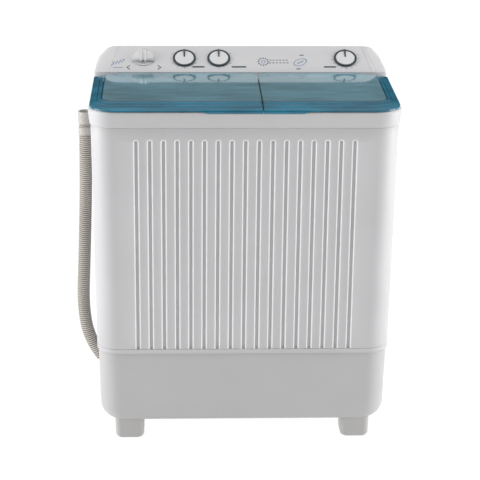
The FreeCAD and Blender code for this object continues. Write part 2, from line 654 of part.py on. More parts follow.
def make_brake():
    """The brake arm stands beside the drum and turns on a post on the motor plate."""
    arm_x = "spin_x + drum_radius + lever_gap + shoe_thick + lever_thick/2"
    pivot_y = "tub_y - lever_arm"
    middle_z = "drum_z + drum_height/2 - lever_height/2"
    arm = box("lever_arm_part", "lever_thick", "lever_length", "lever_height", arm_x,
              "%s + lever_length/2 - 6" % pivot_y, middle_z)
    shoe = box("lever_shoe", "shoe_thick + 1", "shoe_length", "lever_height",
               "%s - lever_thick/2 - shoe_thick/2 + 0.5" % arm_x, "tub_y", middle_z)
    boss = cylinder("lever_boss", "lever_pin + 4", "lever_height", arm_x, pivot_y, middle_z)
    drum_room = cylinder("lever_relief", "drum_radius + lever_gap", "3*lever_height", "spin_x",
                         "tub_y", "%s - lever_height" % middle_z)
    bore = cylinder("lever_bore", "lever_pin + running_fit", "lever_height", arm_x, pivot_y,
                    middle_z)
    lever = cut("brake_lever", fuse("lever_whole", arm, shoe, boss), drum_room, bore)
    plate_top = "spin_plate_z + spin_plate"
    pin = cylinder("lever_post_pin", "lever_pin", "%s + lever_height + 2 - (%s)" % (
        middle_z, plate_top), arm_x, pivot_y, plate_top)
    collar = cylinder("lever_post_collar", "lever_pin + 5", "%s - 0.5 - (%s)" % (
        middle_z, plate_top), arm_x, pivot_y, plate_top)
    return [lever, fuse("brake_post", pin, collar)]


def lid_blank(name, shrink):
    """The pair of lids as one block; shrink is how far it lies inside the outer surface."""
    depth = "lid_front + hinge_y"
    middle = "(hinge_y - lid_front)/2"
    edge = prism(name + "_edge", "lid_width - 2*%s" % shrink, "%s - 2*%s" % (depth, shrink),
                 "lid_corner - %s" % shrink, "0", middle, "lid_foot_z", "lid_edge")
    crown = tapered(name + "_crown",
                    ("lid_width - 2*%s" % shrink, "%s - 2*%s" % (depth, shrink),
                     "lid_corner - %s" % shrink, "0", middle, "lid_foot_z + lid_edge"),
                    ("lid_width - 2*lid_side_inset - 2*%s" % shrink,
                     "%s - lid_front_inset - 2*%s" % (depth, shrink),
                     "lid_corner - %s" % shrink, "0",
                     "%s + lid_front_inset/2" % middle,
                     "lid_top_z - %s" % shrink))
    return fuse(name, edge, crown)


def make_lids():
    outer = lid_blank("lid_outer", "0")
    inner = lid_blank("lid_inner", "lid_skin")
    shell = cut("lid_shell", outer, inner)
    half_gap = "lid_split_gap/2"
    depth = "2*rim_depth"
    lids, pins = [], []
    sides = (("wash_lid", -1, "-lid_width/2 + knuckle_inset", "lid_split - %s - 10" % half_gap),
             ("spin_lid", 1, "lid_split + %s + 10" % half_gap, "lid_width/2 - knuckle_inset"))
    for name, sign, start, end in sides:
        half = box(name + "_half", "rim_width", depth, "2*lid_rise",
                   "lid_split + %d*(rim_width/2 + %s)" % (sign, half_gap), "0",
                   "lid_foot_z - lid_rise/2")
        rib = box(name + "_rib_block", "lid_skin", depth, "2*lid_rise",
                  "lid_split + %d*(%s + lid_skin/2)" % (sign, half_gap), "0",
                  "lid_foot_z - lid_rise/2")
        knuckle = rod(name + "_knuckle", "knuckle_radius", "%s - (%s)" % (end, start), start,
                      "hinge_y", "hinge_z", "x")
        bore = rod(name + "_pin_bore", "hinge_pin + pin_fit", "%s - (%s)" % (end, start), start,
                   "hinge_y", "hinge_z", "x")
        whole = fuse(name + "_whole", common(name + "_part", shell, half),
                     common(name + "_rib", outer, rib), knuckle)
        slots = []
        for tag, edge, way in ((name + "_near", start, 1), (name + "_far", end, -1)):
            length = "pin_reach + neck + knuckle_gap"
            pin_start = "%s - neck - knuckle_gap" % edge if way == 1 else "%s - pin_reach" % edge
            pin = rod(tag + "_pin", "hinge_pin", length, pin_start, "hinge_y", "hinge_z", "x")
            neck_x = "%s - %d*(knuckle_gap + neck/2)" % (edge, way)
            foot = box(tag + "_neck", "neck", "2*hinge_pin", "hinge_z - rim_top_z", neck_x,
                       "hinge_y", "rim_top_z")
            pins.append(fuse(tag, pin, foot))
            slots.append(box(tag + "_slot", "neck + 2*knuckle_gap", "4*knuckle_radius",
                             "lid_top_z - lid_skin - rim_top_z", neck_x, "hinge_y",
                             "rim_top_z"))
        lids.append(cut(name, whole, bore, *slots))
    return lids + [group("lid_hinge_pins", *pins)]


def make_inner_lid():
    knuckle_start = "spin_x - inner_knuckle_length/2"
    disc_z = "inner_hinge_z - inner_lid_sheet/2"
    disc = cylinder("inner_disc", "inner_lid_radius", "inner_lid_sheet", "spin_x", "tub_y",
                    disc_z)
    tab = box("inner_tab", "inner_knuckle_length - 10", "inner_hinge_reach - 60",
              "inner_lid_sheet", "spin_x", "(tub_y + 60 + inner_hinge_y)/2", disc_z)
    knuckle = rod("inner_barrel", "inner_knuckle", "inner_knuckle_length", knuckle_start,
                  "inner_hinge_y", "inner_hinge_z", "x")
    grip = box("inner_grip", "60", "8", "9", "spin_x", "tub_y - inner_lid_radius + 20", disc_z)
    bore = rod("inner_barrel_bore", "inner_pin + pin_fit", "inner_knuckle_length",
               knuckle_start, "inner_hinge_y", "inner_hinge_z", "x")
    lid = cut("spin_inner_lid", fuse("inner_whole", disc, tab, knuckle, grip), bore)
    rail = rod("inner_rail", "inner_pin", "2*spin_tub_radius", "spin_x - spin_tub_radius",
               "inner_hinge_y", "inner_hinge_z", "x")
    reach = cylinder("inner_rail_reach", "spin_tub_radius - tub_wall", "40", "spin_x", "tub_y",
                     "inner_hinge_z - 20")
    return [lid, common("inner_lid_pin", rail, reach)]


def console_profile(skin):
    """Side outline of the console, skin inside the outer surface; its face is always open."""
    top_back = "console_back - %s" % skin
    return [
        ("console_foot_y + %s" % skin, "rim_top_z"),
        (top_back, "rim_top_z"),
        (top_back, "face_top_z - console_top_back - %s" % skin),
        ("face_top_y + 2 - %s/2" % skin, "face_top_z - %s" % skin),
        ("face_top_y", "face_top_z - %s" % skin),
        ("console_foot_y + %s" % skin, "console_foot_z - %s" % skin),
    ]


def make_console():
    solid = extrusion("console_block", "YZ_Plane", console_profile("0"),
                      "2*console_foot_half")
    shoulders = extrusion("console_shoulders", "XZ_Plane",
                          [("-console_foot_half", "rim_top_z"), ("console_foot_half", "rim_top_z"),
                           ("console_foot_half", "console_foot_z"),
                           ("console_top_half", "face_top_z"),
                           ("-console_top_half", "face_top_z"),
                           ("-console_foot_half", "console_foot_z")], "2*rim_depth")
    footprint = prism("console_footprint", "2*console_foot_half", "rim_depth - 12",
                      "rim_corner - 6", "0", "0", "rim_top_z", "2*console_rise + face_length")
    body = common("console_body", solid, shoulders, footprint)
    core = extrusion("console_core", "YZ_Plane", console_profile("console_wall"),
                     "2*cap_x - 2*console_wall")
    middle = box("console_middle", "2*cap_x", "rim_depth", "face_length + 2*console_rise", "0",
                 "0", "rim_top_z")
    face = face_box("fascia_blank", "2*cap_x", "face_length + 8", "fascia + 20", "0",
                    "face_length/2", "-fascia")
    timers = face_box("face_window", "2*cap_x - 4*console_wall", "face_length - 8",
                      "4*console_wall", "0", "face_length/2", "-3*console_wall")
    inlet_hole = rod("inlet_hole", "inlet_spigot - 3", "4*console_wall", "inlet_x",
                     "console_back - 2*console_wall", "console_foot_z + 20", "y")
    housing = cut("console_housing", common("console_middle_part", body, middle), face, core,
                  timers, inlet_hole)
    caps = []
    for side, sign in (("left", -1), ("right", 1)):
        end = box("cap_block_" + side, "rim_width", "rim_depth", "face_length + 2*console_rise",
                  "%d*(cap_x + rim_width/2)" % sign, "0", "rim_top_z")
        caps.append(common("console_end_cap_" + side, body, end))
    plate = face_box("fascia_plate", "2*cap_x", "face_length", "fascia", "0", "face_length/2",
                     "-fascia")
    holes = [face_cylinder("stem_hole_%d" % number, "stem_hole", "3*fascia", x, "knob_u",
                           "-2*fascia")
             for number, x in enumerate(("wash_knob_x", "select_knob_x", "spin_knob_x",
                                         "inlet_x"))]
    fascia = cut("console_fascia", plate, group("stem_holes", *holes))
    spigot = cut("water_inlet",
                 rod("spigot_outer", "inlet_spigot", "inlet_spigot_length", "inlet_x",
                     "console_back", "console_foot_z + 20", "y"),
                 rod("spigot_bore", "inlet_spigot - 3", "inlet_spigot_length", "inlet_x",
                     "console_back", "console_foot_z + 20", "y"))
    return [housing, fascia, spigot] + caps


def make_controls():
    nodes = []
    controls = (("wash_timer", "wash_knob_x"), ("selector", "select_knob_x"),
                ("spin_timer", "spin_knob_x"))
    for name, x in controls:
        dial = face_cylinder(name + "_dial", "knob_radius", "knob_height", x, "knob_u",
                             "knob_lift")
        stem = face_cylinder(name + "_stem", "stem_radius", "knob_lift + fascia + stem_depth + 1",
                             x, "knob_u", "-fascia - stem_depth")
        nodes.append(fuse(name + "_knob", dial, stem))
        unit = face_box(name + "_unit_block", "timer_size", "timer_size", "timer_depth", x,
                        "knob_u", "-fascia - timer_depth")
        socket = face_cylinder(name + "_socket", "stem_radius + 0.3", "stem_depth + 1.5", x,
                               "knob_u", "-fascia - stem_depth - 1")
        nodes.append(cut(name + "_unit", unit, socket))
    cap = face_cylinder("inlet_cap", "inlet_radius", "3", "inlet_x", "knob_u", "knob_lift")
    bar = face_box("inlet_bar_part", "8", "inlet_bar", "inlet_height", "inlet_x", "knob_u",
                   "knob_lift")
    stem = face_cylinder("inlet_stem", "stem_radius", "knob_lift + fascia + 11", "inlet_x",
                         "knob_u", "-fascia - 10")
    nodes.append(fuse("water_selector", cap, bar, stem))
    return nodes


def hose_points():
    """The drain hose from its outlet, low on the left side, up to its cuff under the rim."""
    return [V(-390, 155, 81), V(-409, 155, 109), V(-425.5, 155.5, 145),
            V(-436.5, 156, 187), V(-442, 156, 258), V(-436, 154.5, 378), V(-428.5, 153, 556),
            V(-426, 152.5, 684), V(-425.5, 152.5, 781)]


def make_drain():
    valve = cut("drain_valve_body",
                cylinder("valve_can", "valve_radius", "valve_height", "drain_x", "drain_y",
                         "wash_floor_z - valve_height"),
                cylinder("valve_room", "valve_radius - valve_wall", "valve_height", "drain_x",
                         "drain_y", "wash_floor_z - valve_height + valve_wall"),
                cylinder("valve_port", "pipe_radius - pipe_wall", "3*valve_wall", "drain_x",
                         "drain_y", "wash_floor_z - valve_height - valve_wall"))
    plug_z = "wash_floor_z - valve_height + valve_wall + plug_rest"
    plug = cylinder("drain_valve_plug", "plug_radius", "plug_height", "drain_x", "drain_y",
                    plug_z)
    bore = value("pipe_radius - pipe_wall")
    outer = value("pipe_radius")
    sump_x, sump_half = value("sump_x"), value("sump_size") / 2
    sump_mid_x, sump_end_x = sump_x + sump_half, sump_x + 2 * sump_half
    hose_y, floor = value("hose_y"), value("base_floor_z")
    drain_x, drain_y = value("drain_x"), value("drain_y")
    valve_foot = value("wash_floor_z - valve_height")
    sump_top = floor + value("sump_size")
    wash_pipe = tube("wash_drain_pipe",
                     [V(drain_x, drain_y, valve_foot), V(drain_x, drain_y, valve_foot - 50),
                      V(sump_mid_x, hose_y, sump_top + 60), V(sump_mid_x, hose_y, sump_top)],
                     outer, bore)
    spin_start = V(value("spin_x") - 70, value("tub_y") + 90, value("spin_floor_z"))
    lane_y, spin_end_z = hose_y + 38, floor + sump_half
    spin_pipe = tube("spin_drain_pipe",
                     [spin_start, spin_start - V(0, 0, 60), V(spin_start.x - 20, lane_y, 250),
                      V(spin_start.x - 150, lane_y, spin_end_z + 20),
                      V(sump_end_x + 110, lane_y, spin_end_z), V(sump_end_x + 45, hose_y, spin_end_z),
                      V(sump_end_x, hose_y, spin_end_z)],
                     outer, bore)
    sump_block = box("sump_block", "sump_size", "sump_size", "sump_size",
                     "sump_x + sump_size/2", "hose_y", "base_floor_z")
    sump_room = box("sump_room", "sump_size - 2*sump_wall", "sump_size - 2*sump_wall",
                    "sump_size - 2*sump_wall", "sump_x + sump_size/2", "hose_y",
                    "base_floor_z + sump_wall")
    top_port = cylinder("sump_top_port", "pipe_radius - pipe_wall", "3*sump_wall",
                        "sump_x + sump_size/2", "hose_y",
                        "base_floor_z + sump_size - 2*sump_wall")
    spin_port = rod("sump_spin_port", "pipe_radius - pipe_wall", "3*sump_wall",
                    "sump_x + sump_size - 2*sump_wall", "hose_y",
                    "base_floor_z + sump_size/2", "x")
    out_port = rod("sump_out_port", "spigot_bore", "3*sump_wall", "sump_x - sump_wall",
                   "hose_y", "base_floor_z + sump_wall + spigot_bore", "x")
    sump = cut("drain_sump", sump_block, sump_room, top_port, spin_port, out_port)
    route = hose_points()
    spout = doc.addObject("Part::Feature", "drain_outlet")
    spout.Shape = elbow_shape(V(sump_x, hose_y, value("base_floor_z + sump_wall + spigot_bore")),
                              route)
    hose = tube("drain_hose", route, value("hose_radius"))
    top = route[-1]
    cuff = doc.addObject("Part::Feature", "hose_end_cuff")
    upward = (route[-1] - route[-2]).normalize()
    rim = Part.makeCylinder(value("cuff_radius"), value("cuff_length"), top, upward)
    hollow = Part.makeCylinder(value("hose_radius") - 3, value("cuff_length"), top, upward)
    cuff.Shape = rim.cut(hollow)
    clip = doc.addObject("Part::Feature", "hose_clip")
    clip.Shape = clip_shape(route)
    return [valve, plug, wash_pipe, spin_pipe, sump, spout, hose, cuff, clip]


def elbow_shape(port, route):
    """A level stub out of the sump, turned up into line with the hose."""
    heading = (route[1] - route[0]).normalize()
    corner = route[0] - heading * ((route[0].z - port.z) / heading.z)

    def run(radius, ball):
        level = Part.makeCylinder(radius, port.x - corner.x, port, V(-1, 0, 0))
        rise = Part.makeCylinder(radius, (route[0] - corner).Length, corner, heading)
        return level.fuse([rise, Part.makeSphere(ball, corner)])

    outer, bore = value("spigot_radius"), value("spigot_bore")
    return run(outer, outer).cut(run(bore, bore)).removeSplitter()


def clip_shape(route):
    """An open collar round the hose, on a foot that meets the cabinet's leaning side."""
    before, after = route[-2], route[-1]
    clip_top, tall = value("clip_top"), value("clip_height")
    share = (clip_top - before.z) / (after.z - before.z)
    centre = before + (after - before) * share
    room = value("hose_radius + clip_gap")
    reach = room + value("clip_wall")
    foot = V(centre.x, centre.y, clip_top - tall)
    collar = Part.makeCylinder(reach, tall, foot)
    arm = Part.makeBox(3 * room, 2 * room - 8, tall, V(foot.x, foot.y - room + 4, foot.z))
    mouth = Part.makeBox(2 * reach, 1.2 * room, tall,
                         V(foot.x - 2 * reach - 8, foot.y - 0.6 * room, foot.z))
    wall = Part.makeBox(value("cabinet_foot_width"), value("rim_depth"), value("rim_top_z"))
    lean = math.degrees(math.atan(value("(cabinet_top_width - cabinet_foot_width)/2/cabinet_height")))
    wall.Placement = FreeCAD.Placement(
        V(-value("cabinet_foot_width/2"), -value("rim_depth/2"), value("cabinet_foot_z")),
        FreeCAD.Rotation(V(0, 1, 0), -lean))
    return collar.fuse(arm).cut(Part.makeCylinder(room, tall, foot)).cut(mouth).cut(wall)


def make_small_parts():
    capacitor = cylinder("capacitor", "capacitor_radius", "capacitor_height", "spin_x - 145",
                         "tub_y - 100", "base_floor_z")
    gland = rod("cord_gland", "gland_radius", "gland_length", "spin_x + 80", "cabinet_back",
                "cabinet_foot_z + 40", "y")
    return [capacitor, gland]


nodes = (make_base() + make_legs() + make_cabinet() + make_top_frame() + make_wash_tub()
         + make_pulsator() + make_drive() + make_spin_side() + make_brake() + make_lids()
         + make_inner_lid() + make_console() + make_controls() + make_drain()
         + make_small_parts())
doc.recompute()

failed = [thing.Name for thing in doc.Objects if set(thing.State) & {"Invalid", "Error"}]
if failed:
    raise RuntimeError("failed objects: %s" % failed)

os.makedirs("parts", exist_ok=True)
for node in nodes:
    node.Label = node.Name
    shape = node.Shape
    if shape.isNull() or not shape.isValid() or not shape.Solids:
        raise RuntimeError("bad shape: %s" % node.Name)
    shape.exportStep("parts/%s.step" % node.Label)
print(len(nodes), "nodes")
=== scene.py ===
import json
import math

import bmesh
import bpy
from mathutils import Matrix, Vector


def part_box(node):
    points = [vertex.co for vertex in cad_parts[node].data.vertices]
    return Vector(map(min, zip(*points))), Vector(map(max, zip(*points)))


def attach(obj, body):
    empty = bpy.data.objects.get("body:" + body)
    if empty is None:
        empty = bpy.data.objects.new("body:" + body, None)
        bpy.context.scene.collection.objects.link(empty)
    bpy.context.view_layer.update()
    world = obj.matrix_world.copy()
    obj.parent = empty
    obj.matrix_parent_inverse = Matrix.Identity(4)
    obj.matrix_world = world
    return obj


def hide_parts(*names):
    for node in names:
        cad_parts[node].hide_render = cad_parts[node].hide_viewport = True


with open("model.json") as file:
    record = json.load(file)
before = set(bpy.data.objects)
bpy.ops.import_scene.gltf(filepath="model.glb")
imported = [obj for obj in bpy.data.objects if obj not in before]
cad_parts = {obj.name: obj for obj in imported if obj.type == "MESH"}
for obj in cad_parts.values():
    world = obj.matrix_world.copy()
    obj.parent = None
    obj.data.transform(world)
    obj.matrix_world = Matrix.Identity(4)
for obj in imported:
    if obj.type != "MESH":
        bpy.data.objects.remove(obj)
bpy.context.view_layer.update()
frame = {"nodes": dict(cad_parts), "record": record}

# ---------------------------------------------------------------- places taken from the frame

RIM_LOW, RIM_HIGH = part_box("top_frame")
BASE_LOW, BASE_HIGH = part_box("base")
CABINET_LOW, CABINET_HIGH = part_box("cabinet")
BASKET_LOW, BASKET_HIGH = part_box("spin_basket")
PULSATOR_LOW, PULSATOR_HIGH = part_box("pulsator")
TUB_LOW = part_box("wash_tub")[0]
SPIN_TUB_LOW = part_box("spin_outer_tub")[0]
LID_LOW, LID_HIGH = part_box("wash_lid")
RIM_TOP = RIM_HIGH[2]

WASH_X = (PULSATOR_LOW[0] + PULSATOR_HIGH[0]) / 2
SPIN_X = (BASKET_LOW[0] + BASKET_HIGH[0]) / 2
TUB_Y = (BASKET_LOW[1] + BASKET_HIGH[1]) / 2

# the console's face: its slope, its lower edge, and the ways up it and out of it
FACE_TILT = math.radians(32)
FACE_FOOT = Vector((0, 0.126, RIM_TOP + 0.0145))
FACE_LENGTH = 0.099
FACE_UP = Vector((0, math.cos(FACE_TILT), math.sin(FACE_TILT)))
FACE_OUT = Vector((0, -math.sin(FACE_TILT), math.cos(FACE_TILT)))

# the lids: the line between them, half the gap, the top's fall to the front, and their edges
LID_SPLIT = 0.044
LID_GAP = 0.0013
LID_CROWN = 0.0032
LID_HALF = 0.397
LID_FRONT, LID_BACK = -0.240, 0.108
GRIP_LEFT, GRIP_RIGHT = -0.111, 0.161

# the tubs' mouths in the deck, and how far under its top their lips are
WASH_HALF_X, WASH_HALF_Y, WASH_CORNER = 0.190, 0.155, 0.060
SPIN_MOUTH = 0.1474
MOUTH_DROP = 0.0035

# ---------------------------------------------------------------- camera, light and floor

# where the camera stands, and its pitch, yaw and roll in degrees
CAMERA_PLACE = (-0.1758, -4.3708, 2.0311)
CAMERA_TURN = (19.43, 2.266, 0.57)
LENS, SENSOR = 127.5, 36
# the sky's strength overhead, and the two softboxes: watts, metres, and what they face
SKY_TOP = 1.55
BOX_POWER, BOX_SIZE, BOX_AIM = 64, (1.6, 2.6), (0, 0, 0.50)
FLOOR_REACH = 16.0


def look_camera():
    """A long lens a little left of centre, looking down at the lids."""
    pitch, yaw, roll = (math.radians(angle) for angle in CAMERA_TURN)
    forward = Vector((math.sin(yaw) * math.cos(pitch), math.cos(yaw) * math.cos(pitch),
                      -math.sin(pitch)))
    level = forward.cross(Vector((0, 0, 1))).normalized()
    upright = level.cross(forward)
    right = level * math.cos(roll) + upright * math.sin(roll)
    up = upright * math.cos(roll) - level * math.sin(roll)
    data = bpy.data.cameras.new("camera")
    data.sensor_width = SENSOR
    data.lens = LENS
    camera = bpy.data.objects.new("camera", data)
    camera.matrix_world = Matrix.Translation(CAMERA_PLACE) @ Matrix(
        (right, up, -forward)).transposed().to_4x4()
    bpy.context.scene.collection.objects.link(camera)
    bpy.context.scene.camera = camera


def area_light(name, place):
    """One softbox, turned to the machine."""
    data = bpy.data.lights.new(name, "AREA")
    data.shape = "RECTANGLE"
    data.size, data.size_y = BOX_SIZE
    data.energy = BOX_POWER
    lamp = bpy.data.objects.new(name, data)
    lamp.location = place
    lamp.rotation_euler = (Vector(BOX_AIM) - Vector(place)).to_track_quat("-Z", "Y").to_euler()
    bpy.context.scene.collection.objects.link(lamp)


def studio():
    """A pale floor under a sky that is bright overhead, with a broad soft light either side."""
    bpy.context.scene.view_settings.view_transform = "Standard"
    world = bpy.data.worlds.new("studio")
    world.use_nodes = True
    nodes, links = world.node_tree.nodes, world.node_tree.links
    place = nodes.new("ShaderNodeTexCoord")
    split = nodes.new("ShaderNodeSeparateXYZ")
    links.new(place.outputs["Generated"], split.inputs["Vector"])
    steep = nodes.new("ShaderNodeMath")
    steep.operation = "MULTIPLY"
    links.new(split.outputs["Z"], steep.inputs[0])
    links.new(split.outputs["Z"], steep.inputs[1])
    links.new(spread(nodes, links, steep.outputs["Value"], 0.0, SKY_TOP),
              nodes["Background"].inputs["Strength"])
    nodes["Background"].inputs["Color"].default_value = (1, 1, 1, 1)
    bpy.context.scene.world = world
    area_light("left_softbox", (-2.6, -0.40, 1.0))
    area_light("right_softbox", (2.6, -0.40, 1.0))
    mesh = bpy.data.meshes.new("floor")
    mesh.from_pydata([(x * FLOOR_REACH, y * FLOOR_REACH, 0)
                      for x, y in ((-1, -1), (1, -1), (1, 1), (-1, 1))], [], [(0, 1, 2, 3)])
    floor = bpy.data.objects.new("floor", mesh)
    bpy.context.scene.collection.objects.link(floor)
    material, shader, nodes, links = new_material("floor_paper")
    set_values(shader, {"Roughness": 0.95, "Specular IOR Level": 0.1,
                        "Base Color": (0.12, 0.12, 0.12, 1),
                        "Emission Color": (1, 1, 1, 1), "Emission Strength": 0.94})
    mesh.materials.append(material)


# ---------------------------------------------------------------- materials

MATERIALS = {}


def new_material(name):
    """A material, with its shader, nodes and links."""
    material = bpy.data.materials.new(name)
    material.use_nodes = True
    nodes, links = material.node_tree.nodes, material.node_tree.links
    return material, nodes["Principled BSDF"], nodes, links


def set_values(shader, values):
    """Sets a node's own sockets from a dictionary."""
    for name, value in values.items():
        shader.inputs[name].default_value = value


def noise(nodes, links, scale, detail, stretch=(1, 1, 1)):
    """Noise in the object's own space, so it moves with the piece."""
    place = nodes.new("ShaderNodeTexCoord")
    mapping = nodes.new("ShaderNodeMapping")
    mapping.inputs["Scale"].default_value = stretch
    texture = nodes.new("ShaderNodeTexNoise")
    set_values(texture, {"Scale": scale, "Detail": detail})
    links.new(place.outputs["Object"], mapping.inputs["Vector"])
    links.new(mapping.outputs["Vector"], texture.inputs["Vector"])
    return texture.outputs["Fac"]


def blend_colours(nodes, links, factor, low, high):
    """A colour that runs from low to high over the middle of the factor's range."""
    ramp = nodes.new("ShaderNodeValToRGB")
    for element, position, colour in zip(ramp.color_ramp.elements, (0.35, 0.65), (low, high)):
        element.position = position
        element.color = (*colour, 1)
    links.new(factor, ramp.inputs["Fac"])
    return ramp.outputs["Color"]


def spread(nodes, links, factor, low, high):
    """A value that runs from low to high as the factor runs from 0 to 1."""
    span = nodes.new("ShaderNodeMapRange")
    set_values(span, {"To Min": low, "To Max": high})
    links.new(factor, span.inputs["Value"])
    return span.outputs["Result"]


def add_bump(nodes, links, shader, height, strength, distance):
    """Fine dents in a material, from a height output."""
    dents = nodes.new("ShaderNodeBump")
    set_values(dents, {"Strength": strength, "Distance": distance})
    links.new(height, dents.inputs["Height"])
    links.new(dents.outputs["Normal"], shader.inputs["Normal"])


def plastic(name, colour, rough=0.28, mottle=0.015, grain=900, bump=0.02, coat=0.0):
    """Moulded plastic: faint flow mottle, uneven gloss and a fine grain."""
    MATERIALS[name], shader, nodes, links = new_material(name)
    broad = noise(nodes, links, 6, 3)
    dark = [max(0, part - mottle) for part in colour]
    light = [min(1, part + mottle) for part in colour]
    links.new(blend_colours(nodes, links, broad, dark, light), shader.inputs["Base Color"])
    fine = noise(nodes, links, 60, 5)
    links.new(spread(nodes, links, fine, rough - 0.06, rough + 0.06),
              shader.inputs["Roughness"])
    add_bump(nodes, links, shader, noise(nodes, links, grain, 2), bump, 0.0004)
    set_values(shader, {"Coat Weight": coat, "Coat Roughness": 0.08})


def metal(name, colour, rough=0.3, stretch=(1, 1, 60), streak=0.08):
    """Drawn or rolled metal with streaks along one way."""
    MATERIALS[name], shader, nodes, links = new_material(name)
    lines = noise(nodes, links, 30, 6, stretch)
    dark = [part * (1 - streak) for part in colour]
    links.new(blend_colours(nodes, links, lines, dark, colour), shader.inputs["Base Color"])
    links.new(spread(nodes, links, lines, rough - 0.1, rough + 0.1), shader.inputs["Roughness"])
    add_bump(nodes, links, shader, lines, 0.06, 0.0003)
    set_values(shader, {"Metallic": 1})


def tinted_clear(name, colour, see_through, rough=0.05, low=0.86, coat=0.6):
    """Clear moulded plastic: part of the light goes through, tinted."""
    MATERIALS[name], shader, nodes, links = new_material(name)
    flow = noise(nodes, links, 7, 3, (1, 3, 1))
    dark = [part * low for part in colour]
    links.new(blend_colours(nodes, links, flow, dark, colour), shader.inputs["Base Color"])
    links.new(spread(nodes, links, flow, rough, rough + 0.05), shader.inputs["Roughness"])
    add_bump(nodes, links, shader, noise(nodes, links, 25, 2), 0.05, 0.0006)
    set_values(shader, {"Transmission Weight": see_through, "IOR": 1.49, "Coat Weight": coat,
                        "Coat Roughness": 0.03})


def make_materials():
    plastic("white_plastic", (0.565, 0.561, 0.571), 0.44, 0.01)
    # a brighter copy of the white plastic: a painted highlight for the grooves' lips
    plastic("groove_lip_painted_highlight", (0.90, 0.90, 0.91), 0.22, 0.005)
    plastic("base_plastic", (0.505, 0.50, 0.508), 0.44, 0.01)
    plastic("leg_plastic", (0.46, 0.455, 0.448), 0.4, 0.012, 500, 0.06)
    plastic("console_plastic", (0.595, 0.591, 0.601), 0.38, 0.01)
    plastic("knob_white", (0.66, 0.66, 0.665), 0.34, 0.008)
    plastic("tub_plastic", (0.72, 0.75, 0.77), 0.28, 0.012)
    plastic("pulsator_plastic", (0.16, 0.30, 0.46), 0.3, 0.015)
    plastic("filter_plastic", (0.42, 0.56, 0.68), 0.4, 0.02)
    plastic("dark_plastic", (0.045, 0.047, 0.05), 0.5, 0.01, bump=0.08)
    plastic("knob_ring", (0.006, 0.022, 0.032), 0.4, 0.003)
    plastic("knob_pointer", (0.055, 0.06, 0.068), 0.45, 0.01)
    plastic("print_teal", (0.02, 0.065, 0.08), 0.55, 0.005)
    plastic("print_blue", (0.14, 0.22, 0.40), 0.55, 0.02)
    plastic("print_grey", (0.18, 0.20, 0.24), 0.55, 0.02)
    plastic("hose_plastic", (0.49, 0.46, 0.425), 0.5, 0.03, 300, 0.12)
    # a dark copy of the hose plastic: painted shade for the valleys between the ribs
    plastic("hose_valley_painted_shade", (0.15, 0.125, 0.105), 0.7, 0.02, 300, 0.12)
    plastic("cuff_plastic", (0.46, 0.44, 0.415), 0.5, 0.02, 300, 0.08)
    # rubber also paints the shade strip under the gap between the lids
    plastic("rubber", (0.02, 0.02, 0.021), 0.75, 0.006, 400, 0.2)
    plastic("capacitor_shell", (0.62, 0.62, 0.58), 0.4, 0.02)
    plastic("motor_steel", (0.035, 0.037, 0.04), 0.42, 0.01, 200, 0.15, coat=0.3)
    plastic("seam_shadow", (0.16, 0.16, 0.17), 0.7, 0.01)
    metal("steel", (0.62, 0.62, 0.63), 0.28)
    metal("basket_steel", (0.68, 0.69, 0.70), 0.24, (1, 1, 40))
    metal("zinc_sheet", (0.56, 0.57, 0.59), 0.42, (1, 40, 1), 0.14)
    metal("cast_aluminium", (0.58, 0.58, 0.59), 0.45, (1, 1, 1), 0.12)
    tinted_clear("lid_tint", (0.30, 0.62, 0.74), 0.58, low=0.70)
    tinted_clear("lid_slope", (0.016, 0.24, 0.38), 0.24, low=0.6, coat=0.25)
    tinted_clear("lid_edge", (0.005, 0.045, 0.085), 0.12, coat=0.08)
    tinted_clear("clear_plastic", (0.96, 0.965, 0.97), 0.42, 0.08)


# ---------------------------------------------------------------- mesh helpers


def piece(name, shape, material, body, nodes=(), crease=32, more=()):
    """A finished piece: its mesh or the function that builds it, its materials, its body and
    the nodes it stands for."""
    mesh = mesh_from(name, shape) if callable(shape) else shape
    for word in (material, *more):
        mesh.materials.append(MATERIALS[word])
    built = bpy.data.objects.new(name, mesh)
    bpy.context.scene.collection.objects.link(built)
    mesh.shade_smooth()
    mesh.set_sharp_from_angle(angle=math.radians(crease))
    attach(built, body)
    if nodes:
        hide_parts(*nodes)
    return built


def mesh_from(name, build):
    """A mesh made by a function that fills a bmesh."""
    mesh = bpy.data.meshes.new(name)
    work = bmesh.new()
    build(work)
    bmesh.ops.remove_doubles(work, verts=work.verts, dist=1e-6)
    bmesh.ops.recalc_face_normals(work, faces=work.faces)
    work.to_mesh(mesh)
    work.free()
    return mesh


def mesh_of_curve(name, curve):
    """The mesh that a curve makes; the curve itself is thrown away."""
    holder = bpy.data.objects.new(name, curve)
    bpy.context.scene.collection.objects.link(holder)
    bpy.context.view_layer.update()
    mesh = bpy.data.meshes.new_from_object(
        holder.evaluated_get(bpy.context.evaluated_depsgraph_get()))
    bpy.data.objects.remove(holder)
    bpy.data.curves.remove(curve)
    return mesh


def skin(work, rings, start=True, end=True, wrap=False):
    """Quads between closed rings of points, with a face over each end unless it is left out."""
    rows = [[work.verts.new(point) for point in ring] for ring in rings]
    count = len(rows[0])
    pairs = list(zip(rows, rows[1:])) + ([(rows[-1], rows[0])] if wrap else [])
    for low, high in pairs:
        for index in range(count):
            after = (index + 1) % count
            work.faces.new((low[index], low[after], high[after], high[index]))
    if start and not wrap:
        work.faces.new(list(reversed(rows[0])))
    if end and not wrap:
        work.faces.new(rows[-1])
    return rows


def skinned(rings, **ends):
    """A build function that only skins some rings."""
    return lambda work: skin(work, rings, **ends)


